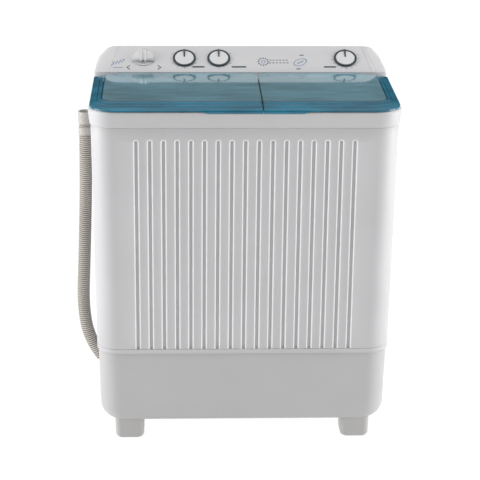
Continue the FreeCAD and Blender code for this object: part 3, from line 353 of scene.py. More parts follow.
def outline(x0, x1, y0, y1, radii, arc):
    """Points round a rectangle, anticlockwise from the front left; one radius or four."""
    radii = radii if isinstance(radii, tuple) else (radii,) * 4
    corners = [(x0, y0, 1, 1, 180), (x1, y0, -1, 1, 270), (x1, y1, -1, -1, 0),
               (x0, y1, 1, -1, 90)]
    points = []
    for (x, y, way_x, way_y, first), radius in zip(corners, radii):
        points += bend(radius, first, first + 90, arc,
                       (x + way_x * radius, y + way_y * radius))
    return points


def at_height(points, height):
    return [Vector((x, y, height)) for x, y in points]


def circle(radius, x, y, steps=64):
    """Points all the way round, without a last one on the first."""
    return bend(radius, 0, 360, steps, (x, y))[:-1]


def lathe_rings(profile, steps, centre=(0, 0)):
    """Rings of a turned shape: profile is (radius, height) from one end to the other."""
    return [at_height(circle(radius, *centre, steps), height) for radius, height in profile]


def bend(radius, start, end, steps, centre=(0, 0)):
    """Points of an arc as (across, up) pairs; angles in degrees."""
    points = []
    for step in range(steps + 1):
        angle = math.radians(start + (end - start) * step / steps)
        points.append((centre[0] + radius * math.cos(angle),
                       centre[1] + radius * math.sin(angle)))
    return points


def on_face(points, x=0.0, along=0.0):
    """Stand local points (x across, y up the slope, z off the face) on the console face."""
    origin = FACE_FOOT + FACE_UP * along + Vector((x, 0, 0))
    return [origin + Vector((point[0], 0, 0)) + FACE_UP * point[1] + FACE_OUT * point[2]
            for point in points]


def add_bevel(built, width, segments=2):
    """Softens a piece's sharp edges."""
    bevel = built.modifiers.new("edge", "BEVEL")
    bevel.width = width
    bevel.segments = segments
    bevel.limit_method = "ANGLE"
    bevel.angle_limit = math.radians(35)


def box_into(work, low, high, place=None):
    """A block between two corners, through place(points) if the block is tilted."""
    corners = [(x, y, z) for z in (low[2], high[2]) for x, y in
               ((low[0], low[1]), (high[0], low[1]), (high[0], high[1]), (low[0], high[1]))]
    points = place(corners) if place else corners
    verts = [work.verts.new(point) for point in points]
    for face in ((3, 2, 1, 0), (4, 5, 6, 7), (0, 1, 5, 4), (1, 2, 6, 5), (2, 3, 7, 6),
                 (3, 0, 4, 7)):
        work.faces.new([verts[index] for index in face])


# ---------------------------------------------------------------- cabinet, base and legs

GROOVES = 17
GROOVE_PITCH = 0.0347
GROOVE_HALF = 0.0074
GROOVE_LIP = 0.0042
# (distance from the middle line, depth): a channel with a proud lip either side
GROOVE_SHAPE = ((0.0, 0.0050), (0.0024, 0.0049), (0.0033, 0.0042), (0.0040, 0.0022),
                (0.0045, 0.0004), (0.0051, -0.0007), (0.0058, -0.0009), (0.0065, -0.0006),
                (GROOVE_HALF, 0.0))
GROOVE_TOP = CABINET_HIGH[2] - 0.030
# the plain band along the foot, and the cabinet's upright corners
BAND = 0.0145
CORNER = 0.058
CORNER_STEPS = 9


def side_at(height):
    """(half width, front) of the leaning cabinet at a height."""
    share = (height - CABINET_LOW[2]) / (CABINET_HIGH[2] - CABINET_LOW[2])
    return 0.388 + 0.006 * share, -0.229 - 0.009 * share


def groove_reach(x, height):
    """Distance from the nearest groove's middle line, or None where there are no grooves."""
    number = round(x / GROOVE_PITCH)
    if abs(number) > GROOVES // 2 or height < CABINET_LOW[2] + BAND:
        return None
    across = abs(x - number * GROOVE_PITCH)
    return math.hypot(across, max(0.0, height - (GROOVE_TOP - GROOVE_HALF)))


def groove_sink(x, height):
    """How deep the front lies at a place: channels with proud lips and round upper ends."""
    reach = groove_reach(x, height)
    if reach is None:
        return 0.0
    for (near, high), (far, low) in zip(GROOVE_SHAPE, GROOVE_SHAPE[1:]):
        if reach <= far:
            return high + (low - high) * (reach - near) / (far - near)
    return 0.0


def cabinet_ring(height, inset, grooved=True):
    """The cabinet's outline at a height, with points at every bend of the grooves."""
    half, front = side_at(height)
    half, front, back = half - inset, front + inset, CABINET_HIGH[1] - inset
    radius = CORNER - inset
    steps = [reach for reach, _ in GROOVE_SHAPE]
    steps = [-reach for reach in steps[:0:-1]] + steps
    xs = [-(half - radius)]
    for number in range(-(GROOVES // 2), GROOVES // 2 + 1):
        xs += [number * GROOVE_PITCH + step for step in steps]
    xs.append(half - radius)
    points = [Vector((x, front + (groove_sink(x, height) if grooved else 0.0), height))
              for x in xs]
    loop = outline(-half, half, front, back, radius, CORNER_STEPS)
    return points + at_height(loop[CORNER_STEPS + 2:] + loop[:CORNER_STEPS], height)


def seam_outline(height, inset, arc):
    """Outline of the dark gap behind a seam, set in from the cabinet's side."""
    half, front = side_at(height)
    return outline(-half + inset, half - inset, front + inset, CABINET_HIGH[1] - inset,
                   CORNER - inset, arc)


def make_cabinet():
    """The one-piece cabinet with its upright grooves and the plain band along its foot; the
    grooves' lips carry a painted highlight, a brighter copy of the white plastic.
    """
    low, high = CABINET_LOW[2], CABINET_HIGH[2]
    end = GROOVE_TOP - GROOVE_HALF
    heights = [(low, 0.0012), (low + 0.0012, 0), (low + BAND - 0.0026, 0),
               (low + BAND - 0.0014, 0.0016), (low + BAND - 0.0002, 0.0001), (low + BAND, 0),
               (low + BAND + 0.05, 0), ((low + high) / 2, 0), (end - 0.02, 0)]
    heights += [(end + GROOVE_HALF * math.sin(math.radians(step * 7.5)), 0)
                for step in range(13)]
    heights += [(high - 0.0015, 0), (high, 0.0015)]
    rings = [cabinet_ring(height, inset) for height, inset in heights]
    rings += [cabinet_ring(high, 0.006, False), cabinet_ring(high - 0.004, 0.006, False),
              cabinet_ring(low + 0.004, 0.006, False), cabinet_ring(low, 0.006, False)]

    def build(work):
        skin(work, rings, wrap=True)
        for face in work.faces:
            middle = face.calc_center_median()
            reach = groove_reach(middle.x, middle.z)
            ahead = middle.y < side_at(middle.z)[1] + 0.003
            # the lip faces on the front take the brighter copy: a painted highlight
            if reach is not None and ahead and GROOVE_LIP < reach < GROOVE_HALF:
                face.material_index = 1

    piece("cabinet_shell", build, "white_plastic", "root", ["cabinet"], crease=50,
          more=["groove_lip_painted_highlight"])
    dark = seam_outline(low, 0.007, 10)
    piece("base_seam", skinned([at_height(dark, low - 0.003), at_height(dark, low + 0.004)]),
          "seam_shadow", "root")


def tuck(roll, above):
    """How far a rolled edge of this radius stands in at a height above its lowest point."""
    return roll - math.sqrt(max(0.0, roll ** 2 - max(0.0, roll - above) ** 2))


def make_base():
    """A plain tray a little inside the cabinet: crisp front edge, widely rolled sides."""
    low, high = BASE_LOW[2], BASE_HIGH[2]
    side_roll, front_roll = 0.036, 0.009

    def ring(height, inset_x, inset_y):
        share = (height - low) / (high - low)
        half = 0.3805 + 0.004 * share - inset_x
        front = -0.221 - 0.004 * share + inset_y
        rear = BASE_HIGH[1] - 0.004 + 0.004 * share - inset_y
        corner = 0.055 - inset_x * 0.5
        return at_height(outline(-half, half, front, rear, corner, 12), height)

    rings = [ring(low + 0.012, 0.060, 0.030), ring(low, 0.055, 0.026)]
    rings += [ring(low + above, tuck(side_roll, above), tuck(front_roll, above))
              for above in (0.0004, 0.0015, 0.0035, 0.0065, 0.011, 0.017, 0.024, 0.031, 0.036)]
    rings += [ring((low + high) / 2, 0, 0), ring(high - 0.0012, 0, 0),
              ring(high, 0.0012, 0.0012), ring(high, 0.006, 0.006),
              ring(high - 0.006, 0.006, 0.006)]
    piece("base_shell", skinned(rings), "base_plastic", "root", ["base"],
          crease=40)


def make_legs():
    """Hollow block feet: straight sides, well-rounded lower edges."""
    for name in ("leg_front_left", "leg_front_right", "leg_rear_left", "leg_rear_right"):
        low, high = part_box(name)

        def ring(height, inset_x, inset_y):
            return at_height(outline(low[0] + inset_x, high[0] - inset_x, low[1] + inset_y,
                                     high[1] - inset_y, 0.015 - inset_x * 0.4, 6), height)

        rings = [ring(0.0015, 0.022, 0.018), ring(0.0, 0.020, 0.016)]
        rings += [ring(above, 0.0012 + tuck(0.012, above), 0.0005 + tuck(0.0055, above))
                  for above in (0.0002, 0.0008, 0.002, 0.0045, 0.008, 0.012)]
        rings += [ring(high[2] + 0.012, 0.0, 0.0)]
        piece(name + "_moulded", skinned(rings), "leg_plastic", "root", [name],
              crease=40)


# ---------------------------------------------------------------- rim and deck


def flat_plate(name, loops, low, high, edge):
    """A plate with holes, as a filled curve: the first loop is the outside."""
    curve = bpy.data.curves.new(name, "CURVE")
    curve.dimensions = "2D"
    curve.fill_mode = "BOTH"
    for loop in loops:
        spline = curve.splines.new("POLY")
        spline.points.add(len(loop) - 1)
        for point, (x, y) in zip(spline.points, loop):
            point.co = (x, y, 0, 1)
        spline.use_cyclic_u = True
    curve.extrude = (high - low) / 2 - edge
    curve.bevel_depth = edge
    curve.bevel_resolution = 2
    mesh = mesh_of_curve(name, curve)
    mesh.transform(Matrix.Translation((0, 0, (low + high) / 2)))
    return mesh


def make_lid_split_shade():
    """A dark strip on the deck under the gap between the lids: painted shade in the gap, in the
    dark rubber material.
    """
    half = 0.0045

    def strip(work):
        box_into(work, (LID_SPLIT - half, -0.222, RIM_TOP - 0.0005),
                 (LID_SPLIT + half, 0.098, RIM_TOP + 0.0004))

    # painted shade: the dark strip stands for the shade in the gap between the lids
    add_bevel(piece("lid_split_painted_shade", strip, "rubber", "root"), 0.0002, 1)


def wash_outline(inset, corner):
    """The wash tub's outline, set in from its walls."""
    return outline(WASH_X - WASH_HALF_X + inset, WASH_X + WASH_HALF_X - inset,
                   TUB_Y - WASH_HALF_Y + inset, TUB_Y + WASH_HALF_Y - inset, corner, 12)


def make_rim():
    """The top frame: a rounded skirt round a thin deck with the two tub mouths in it."""
    low, high = RIM_LOW[2], RIM_HIGH[2]
    straight = high - low - 0.012

    def ring(height, inset):
        share = min(1.0, (height - low) / straight)
        half = 0.3965 + 0.0035 * share - inset
        deep = 0.238 + 0.003 * share - inset
        radius = 0.059 + 0.003 * share - inset
        return at_height(outline(-half, half, -deep, deep, radius, 14), height)

    roll = 0.008
    rings = [ring(low + 0.010, 0.007), ring(low, 0.0065), ring(low - 0.0006, 0.0025),
             ring(low, 0.0004), ring(low + 0.001, 0)]
    rings += [ring(low + (high - low) * share, 0) for share in (0.25, 0.5, 0.7)]
    rings += [ring(high - roll + y, roll - x) for x, y in bend(roll, 0, 90, 7)]
    rings += [ring(high, 0.016), ring(high - 0.004, 0.016)]
    piece("rim_skirt", skinned(rings, start=False, end=False), "white_plastic", "root",
          ["top_frame"], crease=40)
    deck_edge = outline(-0.386, 0.386, -0.227, 0.227, 0.048, 14)
    wash_mouth = wash_outline(0, WASH_CORNER)
    spin_mouth = circle(SPIN_MOUTH, SPIN_X, TUB_Y)
    deck = flat_plate("deck", [deck_edge, wash_mouth, spin_mouth], high - 0.004, high, 0.0012)
    piece("deck", deck, "white_plastic", "root", crease=40)
    dark = seam_outline(CABINET_HIGH[2], 0.003, 14)
    piece("rim_seam", skinned([at_height(dark, low - 0.004), at_height(dark, low + 0.003)],
                              start=False, end=False), "seam_shadow", "root")


# ---------------------------------------------------------------- lids


def lid_ring(side, height, in_side, in_front, in_back, in_split):
    """Outline of one lid at a height, set in from its edges; the top rises to the back."""
    front, back = LID_FRONT + in_front, LID_BACK - in_back
    if side < 0:
        x0, x1 = -LID_HALF + in_side, LID_SPLIT - LID_GAP - in_split
    else:
        x0, x1 = LID_SPLIT + LID_GAP + in_split, LID_HALF - in_side
    front_corner = max(0.003, 0.066 - (in_side + in_front) / 3)
    back_corner = max(0.003, 0.012 - (in_side + in_back) / 4)
    tight = 0.0025
    if side < 0:
        radii = (front_corner, tight, tight, back_corner)
    else:
        radii = (tight, front_corner, back_corner, tight)
    loop = dense(outline(x0, x1, front, back, radii, 10), 10)
    raised = (height - LID_LOW[2]) / (LID_HIGH[2] - LID_LOW[2])
    return [Vector((x, y, height - raised * crown_drop(y))) for x, y in loop]


def crown_drop(y):
    """How far a lid's top lies below its highest line, which is at the back."""
    share = min(1.0, max(0.0, (y + 0.17) / 0.278))
    return LID_CROWN * (1 - share ** 2)


def dense(loop, parts):
    """The same four-sided outline with its straight sides divided into parts."""
    arc = len(loop) // 4
    points = []
    for side in range(4):
        points += loop[side * arc:(side + 1) * arc]
        start, end = loop[(side + 1) * arc - 1], loop[(side + 1) * arc % len(loop)]
        points += [(start[0] + (end[0] - start[0]) * step / parts,
                    start[1] + (end[1] - start[1]) * step / parts)
                   for step in range(1, parts)]
    return points


def make_lid(name, side):
    """A clear shell: upright edge, a long slope at the front, a raised flat panel on top."""
    top, foot = LID_HIGH[2], LID_LOW[2]
    # (height, then the distance in from the side, the front and the back)
    outer = [(foot, 0, 0, 0), (foot + 0.0040, 0, 0, 0), (foot + 0.0046, 0.0002, 0.0002, 0.0002),
             (foot + 0.0062, 0.0011, 0.0018, 0.0008), (foot + 0.0070, 0.0024, 0.0050, 0.0014),
             (foot + 0.0085, 0.0110, 0.0210, 0.0025), (foot + 0.0095, 0.0170, 0.0362, 0.0040),
             (foot + 0.0105, 0.0180, 0.0376, 0.0044), (foot + 0.0109, 0.0196, 0.0402, 0.0052),
             (foot + 0.0118, 0.0280, 0.0620, 0.0065), (foot + 0.0130, 0.0290, 0.0634, 0.0070),
             (top - 0.0004, 0.0300, 0.0648, 0.0076), (top, 0.0320, 0.0670, 0.0090)]
    slope_rows, edge_rows = range(11), (1, 7, 10, 11)
    inward = [0.120 * share for share in (0.01, 0.03, 0.12, 0.3, 0.5, 0.7, 0.85, 0.95, 0.995)]
    splits = [0.0] * len(outer) + inward
    outer += [(top, 0.0320 + inset, 0.0670 + inset, 0.0090 + inset) for inset in inward]
    thick = 0.0028
    half = thick / 2
    rings = [lid_ring(side, *row, split) for row, split in zip(outer, splits)]
    under = [lid_ring(side, height - thick, s + half, f + half, b + half, split + thick)
             for (height, s, f, b), split in list(zip(outer, splits))[4:]]
    foot_rows = [lid_ring(side, foot, thick, thick, thick, thick),
                 lid_ring(side, foot + 0.0036, 0.0030, 0.0034, 0.0030, thick)]

    def shell(work):
        first = skin(work, rings, start=False)
        second = skin(work, foot_rows + under, start=False)
        count = len(first[0])
        for index in range(count):
            after = (index + 1) % count
            work.faces.new((first[0][after], first[0][index], second[0][index],
                            second[0][after]))
            for rows, look in ((slope_rows, 2), (edge_rows, 1)):
                for row in rows:
                    edge = work.edges.get((first[row][index], first[row + 1][index]))
                    for face in edge.link_faces:
                        face.material_index = look

    def split_bead(work):
        x = LID_SPLIT + side * LID_GAP
        rows = []
        for y, width in ((-0.2395, 0.0036), (0.104, 0.0012)):
            rise = foot + 0.0042 if y < -0.2 else top - crown_drop(y) - 0.001
            rows.append([Vector((x + side * a, y, h)) for a, h in
                         ((0.0004, foot + 0.0004), (width, foot + 0.0004), (width, rise),
                          (0.0004, rise))])
        middle = [row.lerp(other, 0.19) for row, other in zip(*rows)]
        for point in middle[2:]:
            point.z = top - LID_CROWN - 0.0007
        skin(work, [rows[0], middle, rows[1]])

    def barrel(work):
        x0, x1 = (-0.331, LID_SPLIT - 0.0115) if side < 0 else (LID_SPLIT + 0.0115, 0.331)
        skin(work, [[Vector((x, y, z)) for y, z in circle(radius, 0.110, top - 0.006, 20)]
                    for x, radius in ((x0, 0.0032), (x0, 0.0052), (x0 + 0.0008, 0.006),
                                      (x1 - 0.0008, 0.006), (x1, 0.0052), (x1, 0.0032))],
             start=False, end=False)

    def ribs(work):
        first, last = (-0.330, 0.025) if side < 0 else (0.063, 0.335)
        pitch, half_width = 0.0472, 0.0009
        for number in range(int((last - first) / pitch) + 1):
            x = first + number * pitch
            box_into(work, (x - half_width, -0.2366, foot + 0.0008),
                     (x + half_width, -0.2200, foot + 0.0038))

    def grip(work):
        left = GRIP_LEFT if side < 0 else LID_SPLIT + LID_GAP
        right = LID_SPLIT - LID_GAP if side < 0 else GRIP_RIGHT
        outer_end = left if side < 0 else right
        rings = []
        for step in range(11):
            x = left + (right - left) * step / 10
            rise = min(1.0, abs(x - outer_end) / 0.014)
            low = foot - 0.0048 * rise * rise * (3 - 2 * rise)
            section = [(-0.2402, foot + 0.004), (-0.2408, foot + 0.001), (-0.2409, low + 0.0008),
                       (-0.2402, low), (-0.2375, low), (-0.2368, low + 0.0008),
                       (-0.2368, foot + 0.004)]
            rings.append([Vector((x, y, z)) for y, z in section])
        skin(work, rings)

    piece(name + "_shell", shell, "lid_tint", name, [name], crease=24,
          more=["lid_edge", "lid_slope"])
    piece(name + "_split_bead", split_bead, "lid_edge", name)
    piece(name + "_barrel", barrel, "lid_tint", name, crease=40)
    piece(name + "_ribs", ribs, "lid_edge", name)
    piece(name + "_grip", grip, "lid_slope", name, crease=40)


# ---------------------------------------------------------------- console


def console_section():
    """The side outline, from the foot of the front round the top to the foot of the back."""
    top = FACE_FOOT + FACE_UP * FACE_LENGTH
    back, radius = 0.226, 0.011
    points = [(0.1265, RIM_TOP), (0.126, RIM_TOP + 0.0135), (0.1272, FACE_FOOT.z + 0.0006)]
    for share in (0.25, 0.5, 0.75):
        along = FACE_FOOT + FACE_UP * FACE_LENGTH * share
        points.append((along.y, along.z))
    centre = (top.y - 0.0025, top.z - radius - 0.0002)
    points += bend(radius, 90 + math.degrees(FACE_TILT), 30, 7, centre)
    points += [(back - 0.002, centre[1] - 0.003), (back, centre[1] - 0.014),
               (back, RIM_TOP + 0.02), (back, RIM_TOP)]
    return points


def make_console():
    """The console's one long shell, and an end cap that rolls over at each side."""
    section = console_section()
    height = max(z for _, z in section) - RIM_TOP
    middle = 0.186

    def station(side, angle, shift=0.0, shrink=1.0):
        """The section at one end, rolled over sideways by an angle."""
        roll = math.radians(angle)
        pull = 0.17 * (1 - math.cos(roll))
        ring = []
        for y, z in section:
            rise = (z - RIM_TOP) / height
            edge = 0.364 - 0.032 * rise + shift
            outer = 0.398 - 0.032 * rise ** 2
            ring.append(Vector((side * (edge + (outer - edge) * math.sin(roll)),
                                middle + (y - middle) * (1 - pull * 0.5) * shrink,
                                RIM_TOP + (z - RIM_TOP) * (1 - pull) * shrink)))
        return ring

    def plain(x):
        return [Vector((x, y, z)) for y, z in section]

    notch = 0.985
    rings = [station(-1, 0, 0, notch), station(-1, 0, -0.0012)]
    rings += [plain(x) for x in (-0.33, -0.17, 0, 0.17, 0.33)]
    rings += [station(1, 0, -0.0012), station(1, 0, 0, notch)]
    piece("console_shell", skinned(rings), "console_plastic", "root",
          ["console_housing", "console_fascia"], crease=24)
    for side, word in ((-1, "left"), (1, "right")):
        rings = [station(side, 0, 0.0001, notch), station(side, 0, 0.0013)]
        if side > 0:
            rings += [station(side, 0, 0.0095), station(side, 0, 0.0105, 0.99),
                      station(side, 0, 0.0115)]
        first = 28 if side > 0 else 14
        rings += [station(side, angle) for angle in (*range(first, 90, 8), 90)]
        piece("console_cap_" + word, skinned(rings), "console_plastic", "root",
              ["console_end_cap_" + word], crease=24)


# how far a print's foot and top are from the console's face
PRINT_FOOT, PRINT_TOP = -0.0002, 0.00025


def flat_mark(work, loop):
    """A raised printed shape from a loop of (x, y) pairs on the console face."""
    skin(work, [on_face([(x, y, height) for x, y in loop]) for height in (PRINT_FOOT, PRINT_TOP)])


def band_mark(work, outer, inner):
    """A printed band between two lines of points."""
    skin(work, [on_face([(*p, PRINT_FOOT), (*q, PRINT_FOOT), (*q, PRINT_TOP), (*p, PRINT_TOP)])
                for p, q in zip(outer, inner)])


def turned(points, turn, x, along):
    """Points turned about their origin, then moved."""
    cos, sin = math.cos(turn), math.sin(turn)
    return [(x + a * cos - b * sin, along + a * sin + b * cos) for a, b in points]


def bar_mark(work, x, along, width, height, turn=0.0):
    """A printed bar, turned about its middle."""
    corners = [(-width / 2, -height / 2), (width / 2, -height / 2), (width / 2, height / 2),
               (-width / 2, height / 2)]
    flat_mark(work, turned(corners, turn, x, along))


def dial_bars(work, x, along, radius, angles, width, height):
    """Bars that point outwards round a dial."""
    for angle in angles:
        bar_mark(work, x + radius * math.cos(angle), along + radius * math.sin(angle), width,
                 height, angle)


def pill_mark(work, x, along, width, height):
    """A printed bar with round ends."""
    half, radius = width / 2 - height / 2, height / 2
    flat_mark(work, bend(radius, -90, 90, 8, (x + half, along))
              + bend(radius, 90, 270, 8, (x - half, along)))


KNOB_X = {"wash_timer_knob": -0.153, "selector_knob": -0.059, "spin_timer_knob": 0.287}
KNOB_UP = 0.050
INLET_X = -0.265
# the middles of two printed signs
WHEEL = (0.062, 0.038)
OVAL = (0.163, 0.036)


def make_console_marks():
    """Plain printed marks: caption bars, dial ticks, arrows and two simple signs."""

    def teal(work):
        for x, width in ((-0.115, 0.034), (-0.005, 0.040), (0.243, 0.034)):
            pill_mark(work, x, 0.0185, width, 0.0052)
        for knob, count, sweep in (("wash_timer_knob", 12, 330), ("selector_knob", 5, 120),
                                   ("spin_timer_knob", 16, 330)):
            angles = [math.radians(90 - sweep * number / (count - 1)) for number in range(count)]
            dial_bars(work, KNOB_X[knob], KNOB_UP, 0.0365, angles, 0.0032, 0.0010)
            bar_mark(work, KNOB_X[knob], KNOB_UP - 0.0355, 0.0012, 0.0050)
        for way, x in ((1, INLET_X - 0.040), (-1, INLET_X + 0.044)):
            for tilt in (1, -1):
                bar_mark(work, x, 0.0165 + tilt * 0.0036, 0.0115, 0.0024, way * tilt * 0.72)
        dial_bars(work, *WHEEL, 0.0135, [math.pi * number / 6 for number in range(12)], 0.0042,
                  0.0034)
        pill_mark(work, 0.168, 0.063, 0.012, 0.0030)
        pill_mark(work, 0.157, 0.011, 0.012, 0.0030)

    def blue(work):
        band_mark(work, bend(0.0045, 0, 360, 24, WHEEL), bend(0.0062, 0, 360, 24, WHEEL))
        x, along = OVAL
        ovals = [turned([(0.020 * scale * a, 0.0125 * scale * b)
                         for a, b in bend(1, 0, 360, 32)], 0.5, x, along)
                 for scale in (1.0, 0.88)]
        band_mark(work, *ovals)
        for number in range(3):
            bar_mark(work, x - 0.006 + number * 0.006, 0.033 + number * 0.003, 0.0018, 0.010,
                     -0.6)
        for number in range(4):
            bar_mark(work, -0.347 + number * 0.0088, 0.030 + number * 0.0032, 0.0018, 0.014,
                     -0.5)
            bar_mark(work, -0.344 + number * 0.0088, 0.037 + number * 0.0030, 0.0055, 0.0018,
                     0.3)
        bar_mark(work, -0.333, 0.0165, 0.026, 0.0019)

    def grey(work):
        for along, width in ((0.044, 0.044), (0.034, 0.048)):
            for number in range(6):
                bar_mark(work, 0.104 + width * (number / 5 - 0.5), along, width / 8.5, 0.0036)

    for colour, marks in (("teal", teal), ("blue", blue), ("grey", grey)):
        piece("console_print_" + colour, marks, "print_" + colour, "root")


def make_knob(name):
    """A low white dial inside a dark ring, with a dark pointer bar from ring to centre."""
    x = KNOB_X[name]

    def spun(profile):
        return [on_face(ring, x, KNOB_UP) for ring in lathe_rings(profile, 64)]

    body = [(0.012, -0.0005), (0.0292, 0.0008), (0.0296, 0.0012), (0.0296, 0.0026),
            (0.0256, 0.0026), (0.0256, 0.0036), (0.0250, 0.0042), (0.0180, 0.0046),
            (0.0080, 0.0048), (0.0010, 0.0048)]
    piece(name + "_dial", skinned(spun(body)), "knob_white", name, [name], crease=35)
    band = [(0.0258, 0.0027), (0.0297, 0.0009), (0.0312, 0.0009), (0.0315, 0.0014),
            (0.0315, 0.0030), (0.0308, 0.0041), (0.0294, 0.0045), (0.0268, 0.0045),
            (0.0259, 0.0040)]
    piece(name + "_ring", skinned(spun(band), wrap=True), "knob_ring", name)

    def pointer(work):
        rows = []
        for along, half, height in ((0.0015, 0.0008, 0.0050), (0.0035, 0.0019, 0.0062),
                                    (0.0160, 0.0024, 0.0072), (0.0270, 0.0028, 0.0072),
                                    (0.0312, 0.0028, 0.0058)):
            section = [(-half, along, 0.0036), (half, along, 0.0036),
                       (half, along, height - 0.0006), (half * 0.7, along, height),
                       (-half * 0.7, along, height), (-half, along, height - 0.0006)]
            rows.append(on_face(section, x, KNOB_UP))
        skin(work, rows)

    piece(name + "_pointer", pointer, "knob_pointer", name)


def make_water_selector():
    """A clear D-shaped turning piece with two upright blades down its middle."""
    chord = -0.013

    def d_loop(scale):
        start = math.degrees(math.asin(chord / 0.031))
        loop = bend(0.031, start, 180 - start, 40)
        loop += [(-0.020, chord - 0.002), (-0.007, chord - 0.003), (0.007, chord - 0.003),
                 (0.020, chord - 0.002)]
        return [(px * scale, (py - 0.006) * scale + 0.006) for px, py in loop]

    profile = [(0.96, 0.0010), (1.0, 0.0018), (1.0, 0.0050), (0.97, 0.0078), (0.90, 0.0096),
               (0.70, 0.0108), (0.40, 0.0112), (0.10, 0.0113)]
    rows = [on_face([(px, py, height) for px, py in d_loop(scale)], INLET_X, KNOB_UP)
            for scale, height in profile]
    piece("water_selector_dome", skinned(rows), "clear_plastic", "water_selector",
          ["water_selector"], crease=40)

    skirt = [(0.0235, 0.0008), (0.0255, 0.0010), (0.0258, 0.0016), (0.0252, 0.0022),
             (0.0225, 0.0024), (0.0100, 0.0024)]
    rows = [on_face([(px, py - 0.002, height) for px, py, height in ring], INLET_X, KNOB_UP)
            for ring in lathe_rings(skirt, 56)]
    piece("water_selector_skirt", skinned(rows), "clear_plastic", "water_selector", crease=40)

    def blades(work):
        for middle in (-0.0056, 0.0056):
            left, right = middle - 0.0019, middle + 0.0019
            skin(work, [on_face([(left, along, 0.004), (right, along, 0.004),
                                 (right, along, height), (left, along, height)],
                                INLET_X, KNOB_UP)
                        for along, height in ((-0.0200, 0.0095), (-0.0180, 0.0128), (0, 0.0134),
                                              (0.0225, 0.0128), (0.0245, 0.0095))])

    add_bevel(piece("water_selector_blades", blades, "knob_white", "water_selector"), 0.0005)


# ---------------------------------------------------------------- drain hose

HOSE_RADIUS = 0.018
RIB_PITCH, RIB_DEEP, RIB_STEPS = 0.0060, 0.0028, 6
HOSE_ROUTE = [(-0.390, 0.155, 0.081), (-0.409, 0.155, 0.109), (-0.4255, 0.1555, 0.145),
              (-0.4365, 0.156, 0.187), (-0.442, 0.156, 0.258), (-0.436, 0.1545, 0.378),
              (-0.4285, 0.153, 0.556), (-0.426, 0.1525, 0.684), (-0.4255, 0.1525, 0.781)]


def hose_line():
    """Points along the hose's own smooth curve."""
    curve = bpy.data.curves.new("hose_line", "CURVE")
    curve.dimensions = "3D"
    spline = curve.splines.new("NURBS")
    spline.points.add(len(HOSE_ROUTE) - 1)
    for point, place in zip(spline.points, HOSE_ROUTE):
        point.co = (*place, 1)
    spline.order_u = 3
    spline.use_endpoint_u = True
    spline.resolution_u = 64
    mesh = mesh_of_curve("hose_line", curve)
    line = [vertex.co.copy() for vertex in mesh.vertices]
    bpy.data.meshes.remove(mesh)
    return line


def walk(line, spacing):
    """Evenly spaced points and headings along a fine line."""
    lengths = [0.0]
    for before, after in zip(line, line[1:]):
        lengths.append(lengths[-1] + (after - before).length)
    count = max(2, round(lengths[-1] / spacing))
    stations, index = [], 0
    for step in range(count + 1):
        target = lengths[-1] * step / count
        while index < len(lengths) - 2 and lengths[index + 1] < target:
            index += 1
        span = lengths[index + 1] - lengths[index]
        share = (target - lengths[index]) / span if span else 0
        heading = (line[index + 1] - line[index]).normalized()
        stations.append((line[index].lerp(line[index + 1], share), heading))
    return stations, lengths[-1]


def tube_ring(place, heading, radius, steps=28):
    """A circle of points square to a tube's heading."""
    side = heading.cross(Vector((0, 1, 0))).normalized()
    other = heading.cross(side).normalized()
    return [place + side * a + other * b for a, b in circle(radius, 0, 0, steps)]


def make_hose():
    """The corrugated hose, with painted shade in the valleys between its ribs, and the cuff at
    its top.
    """
    line = hose_line()
    stations, length = walk(line, RIB_PITCH / RIB_STEPS)
    rings = []
    for number, (place, heading) in enumerate(stations):
        wave = 0.5 - 0.5 * math.cos(2 * math.pi * number / RIB_STEPS)
        rings.append(tube_ring(place, heading, HOSE_RADIUS - RIB_DEEP * (1 - wave ** 0.6)))

    def corrugated(work):
        rows = skin(work, rings)
        for number, (row, after) in enumerate(zip(rows, rows[1:])):
            # the rings at the bottom of each valley take the dark copy: painted shade
            if number % RIB_STEPS in (0, RIB_STEPS - 1):
                for low, high in zip(row, after):
                    for face in work.edges.get((low, high)).link_faces:
                        face.material_index = 1

    hose = piece("drain_hose_ribbed", corrugated, "hose_plastic", "root", ["drain_hose"],
                 crease=60, more=["hose_valley_painted_shade"])
    top, up = line[-1], (line[-1] - line[-6]).normalized()
    profile = [(0.0160, -0.004), (0.0188, -0.003), (0.0194, -0.0015), (0.0195, 0.0),
               (0.0195, 0.006), (0.0186, 0.0072), (0.0186, 0.0098), (0.0195, 0.011),
               (0.0195, 0.0275), (0.0190, 0.0295), (0.0178, 0.0300), (0.0162, 0.0298),
               (0.0157, 0.0280), (0.0156, 0.004)]
    rings = [tube_ring(top + up * height, up, radius, 40) for radius, height in profile]
    cuff = piece("hose_cuff_moulded", skinned(rings), "cuff_plastic", "root",
                 ["hose_end_cuff"], crease=40)


# ---------------------------------------------------------------- tubs, pulsator and basket


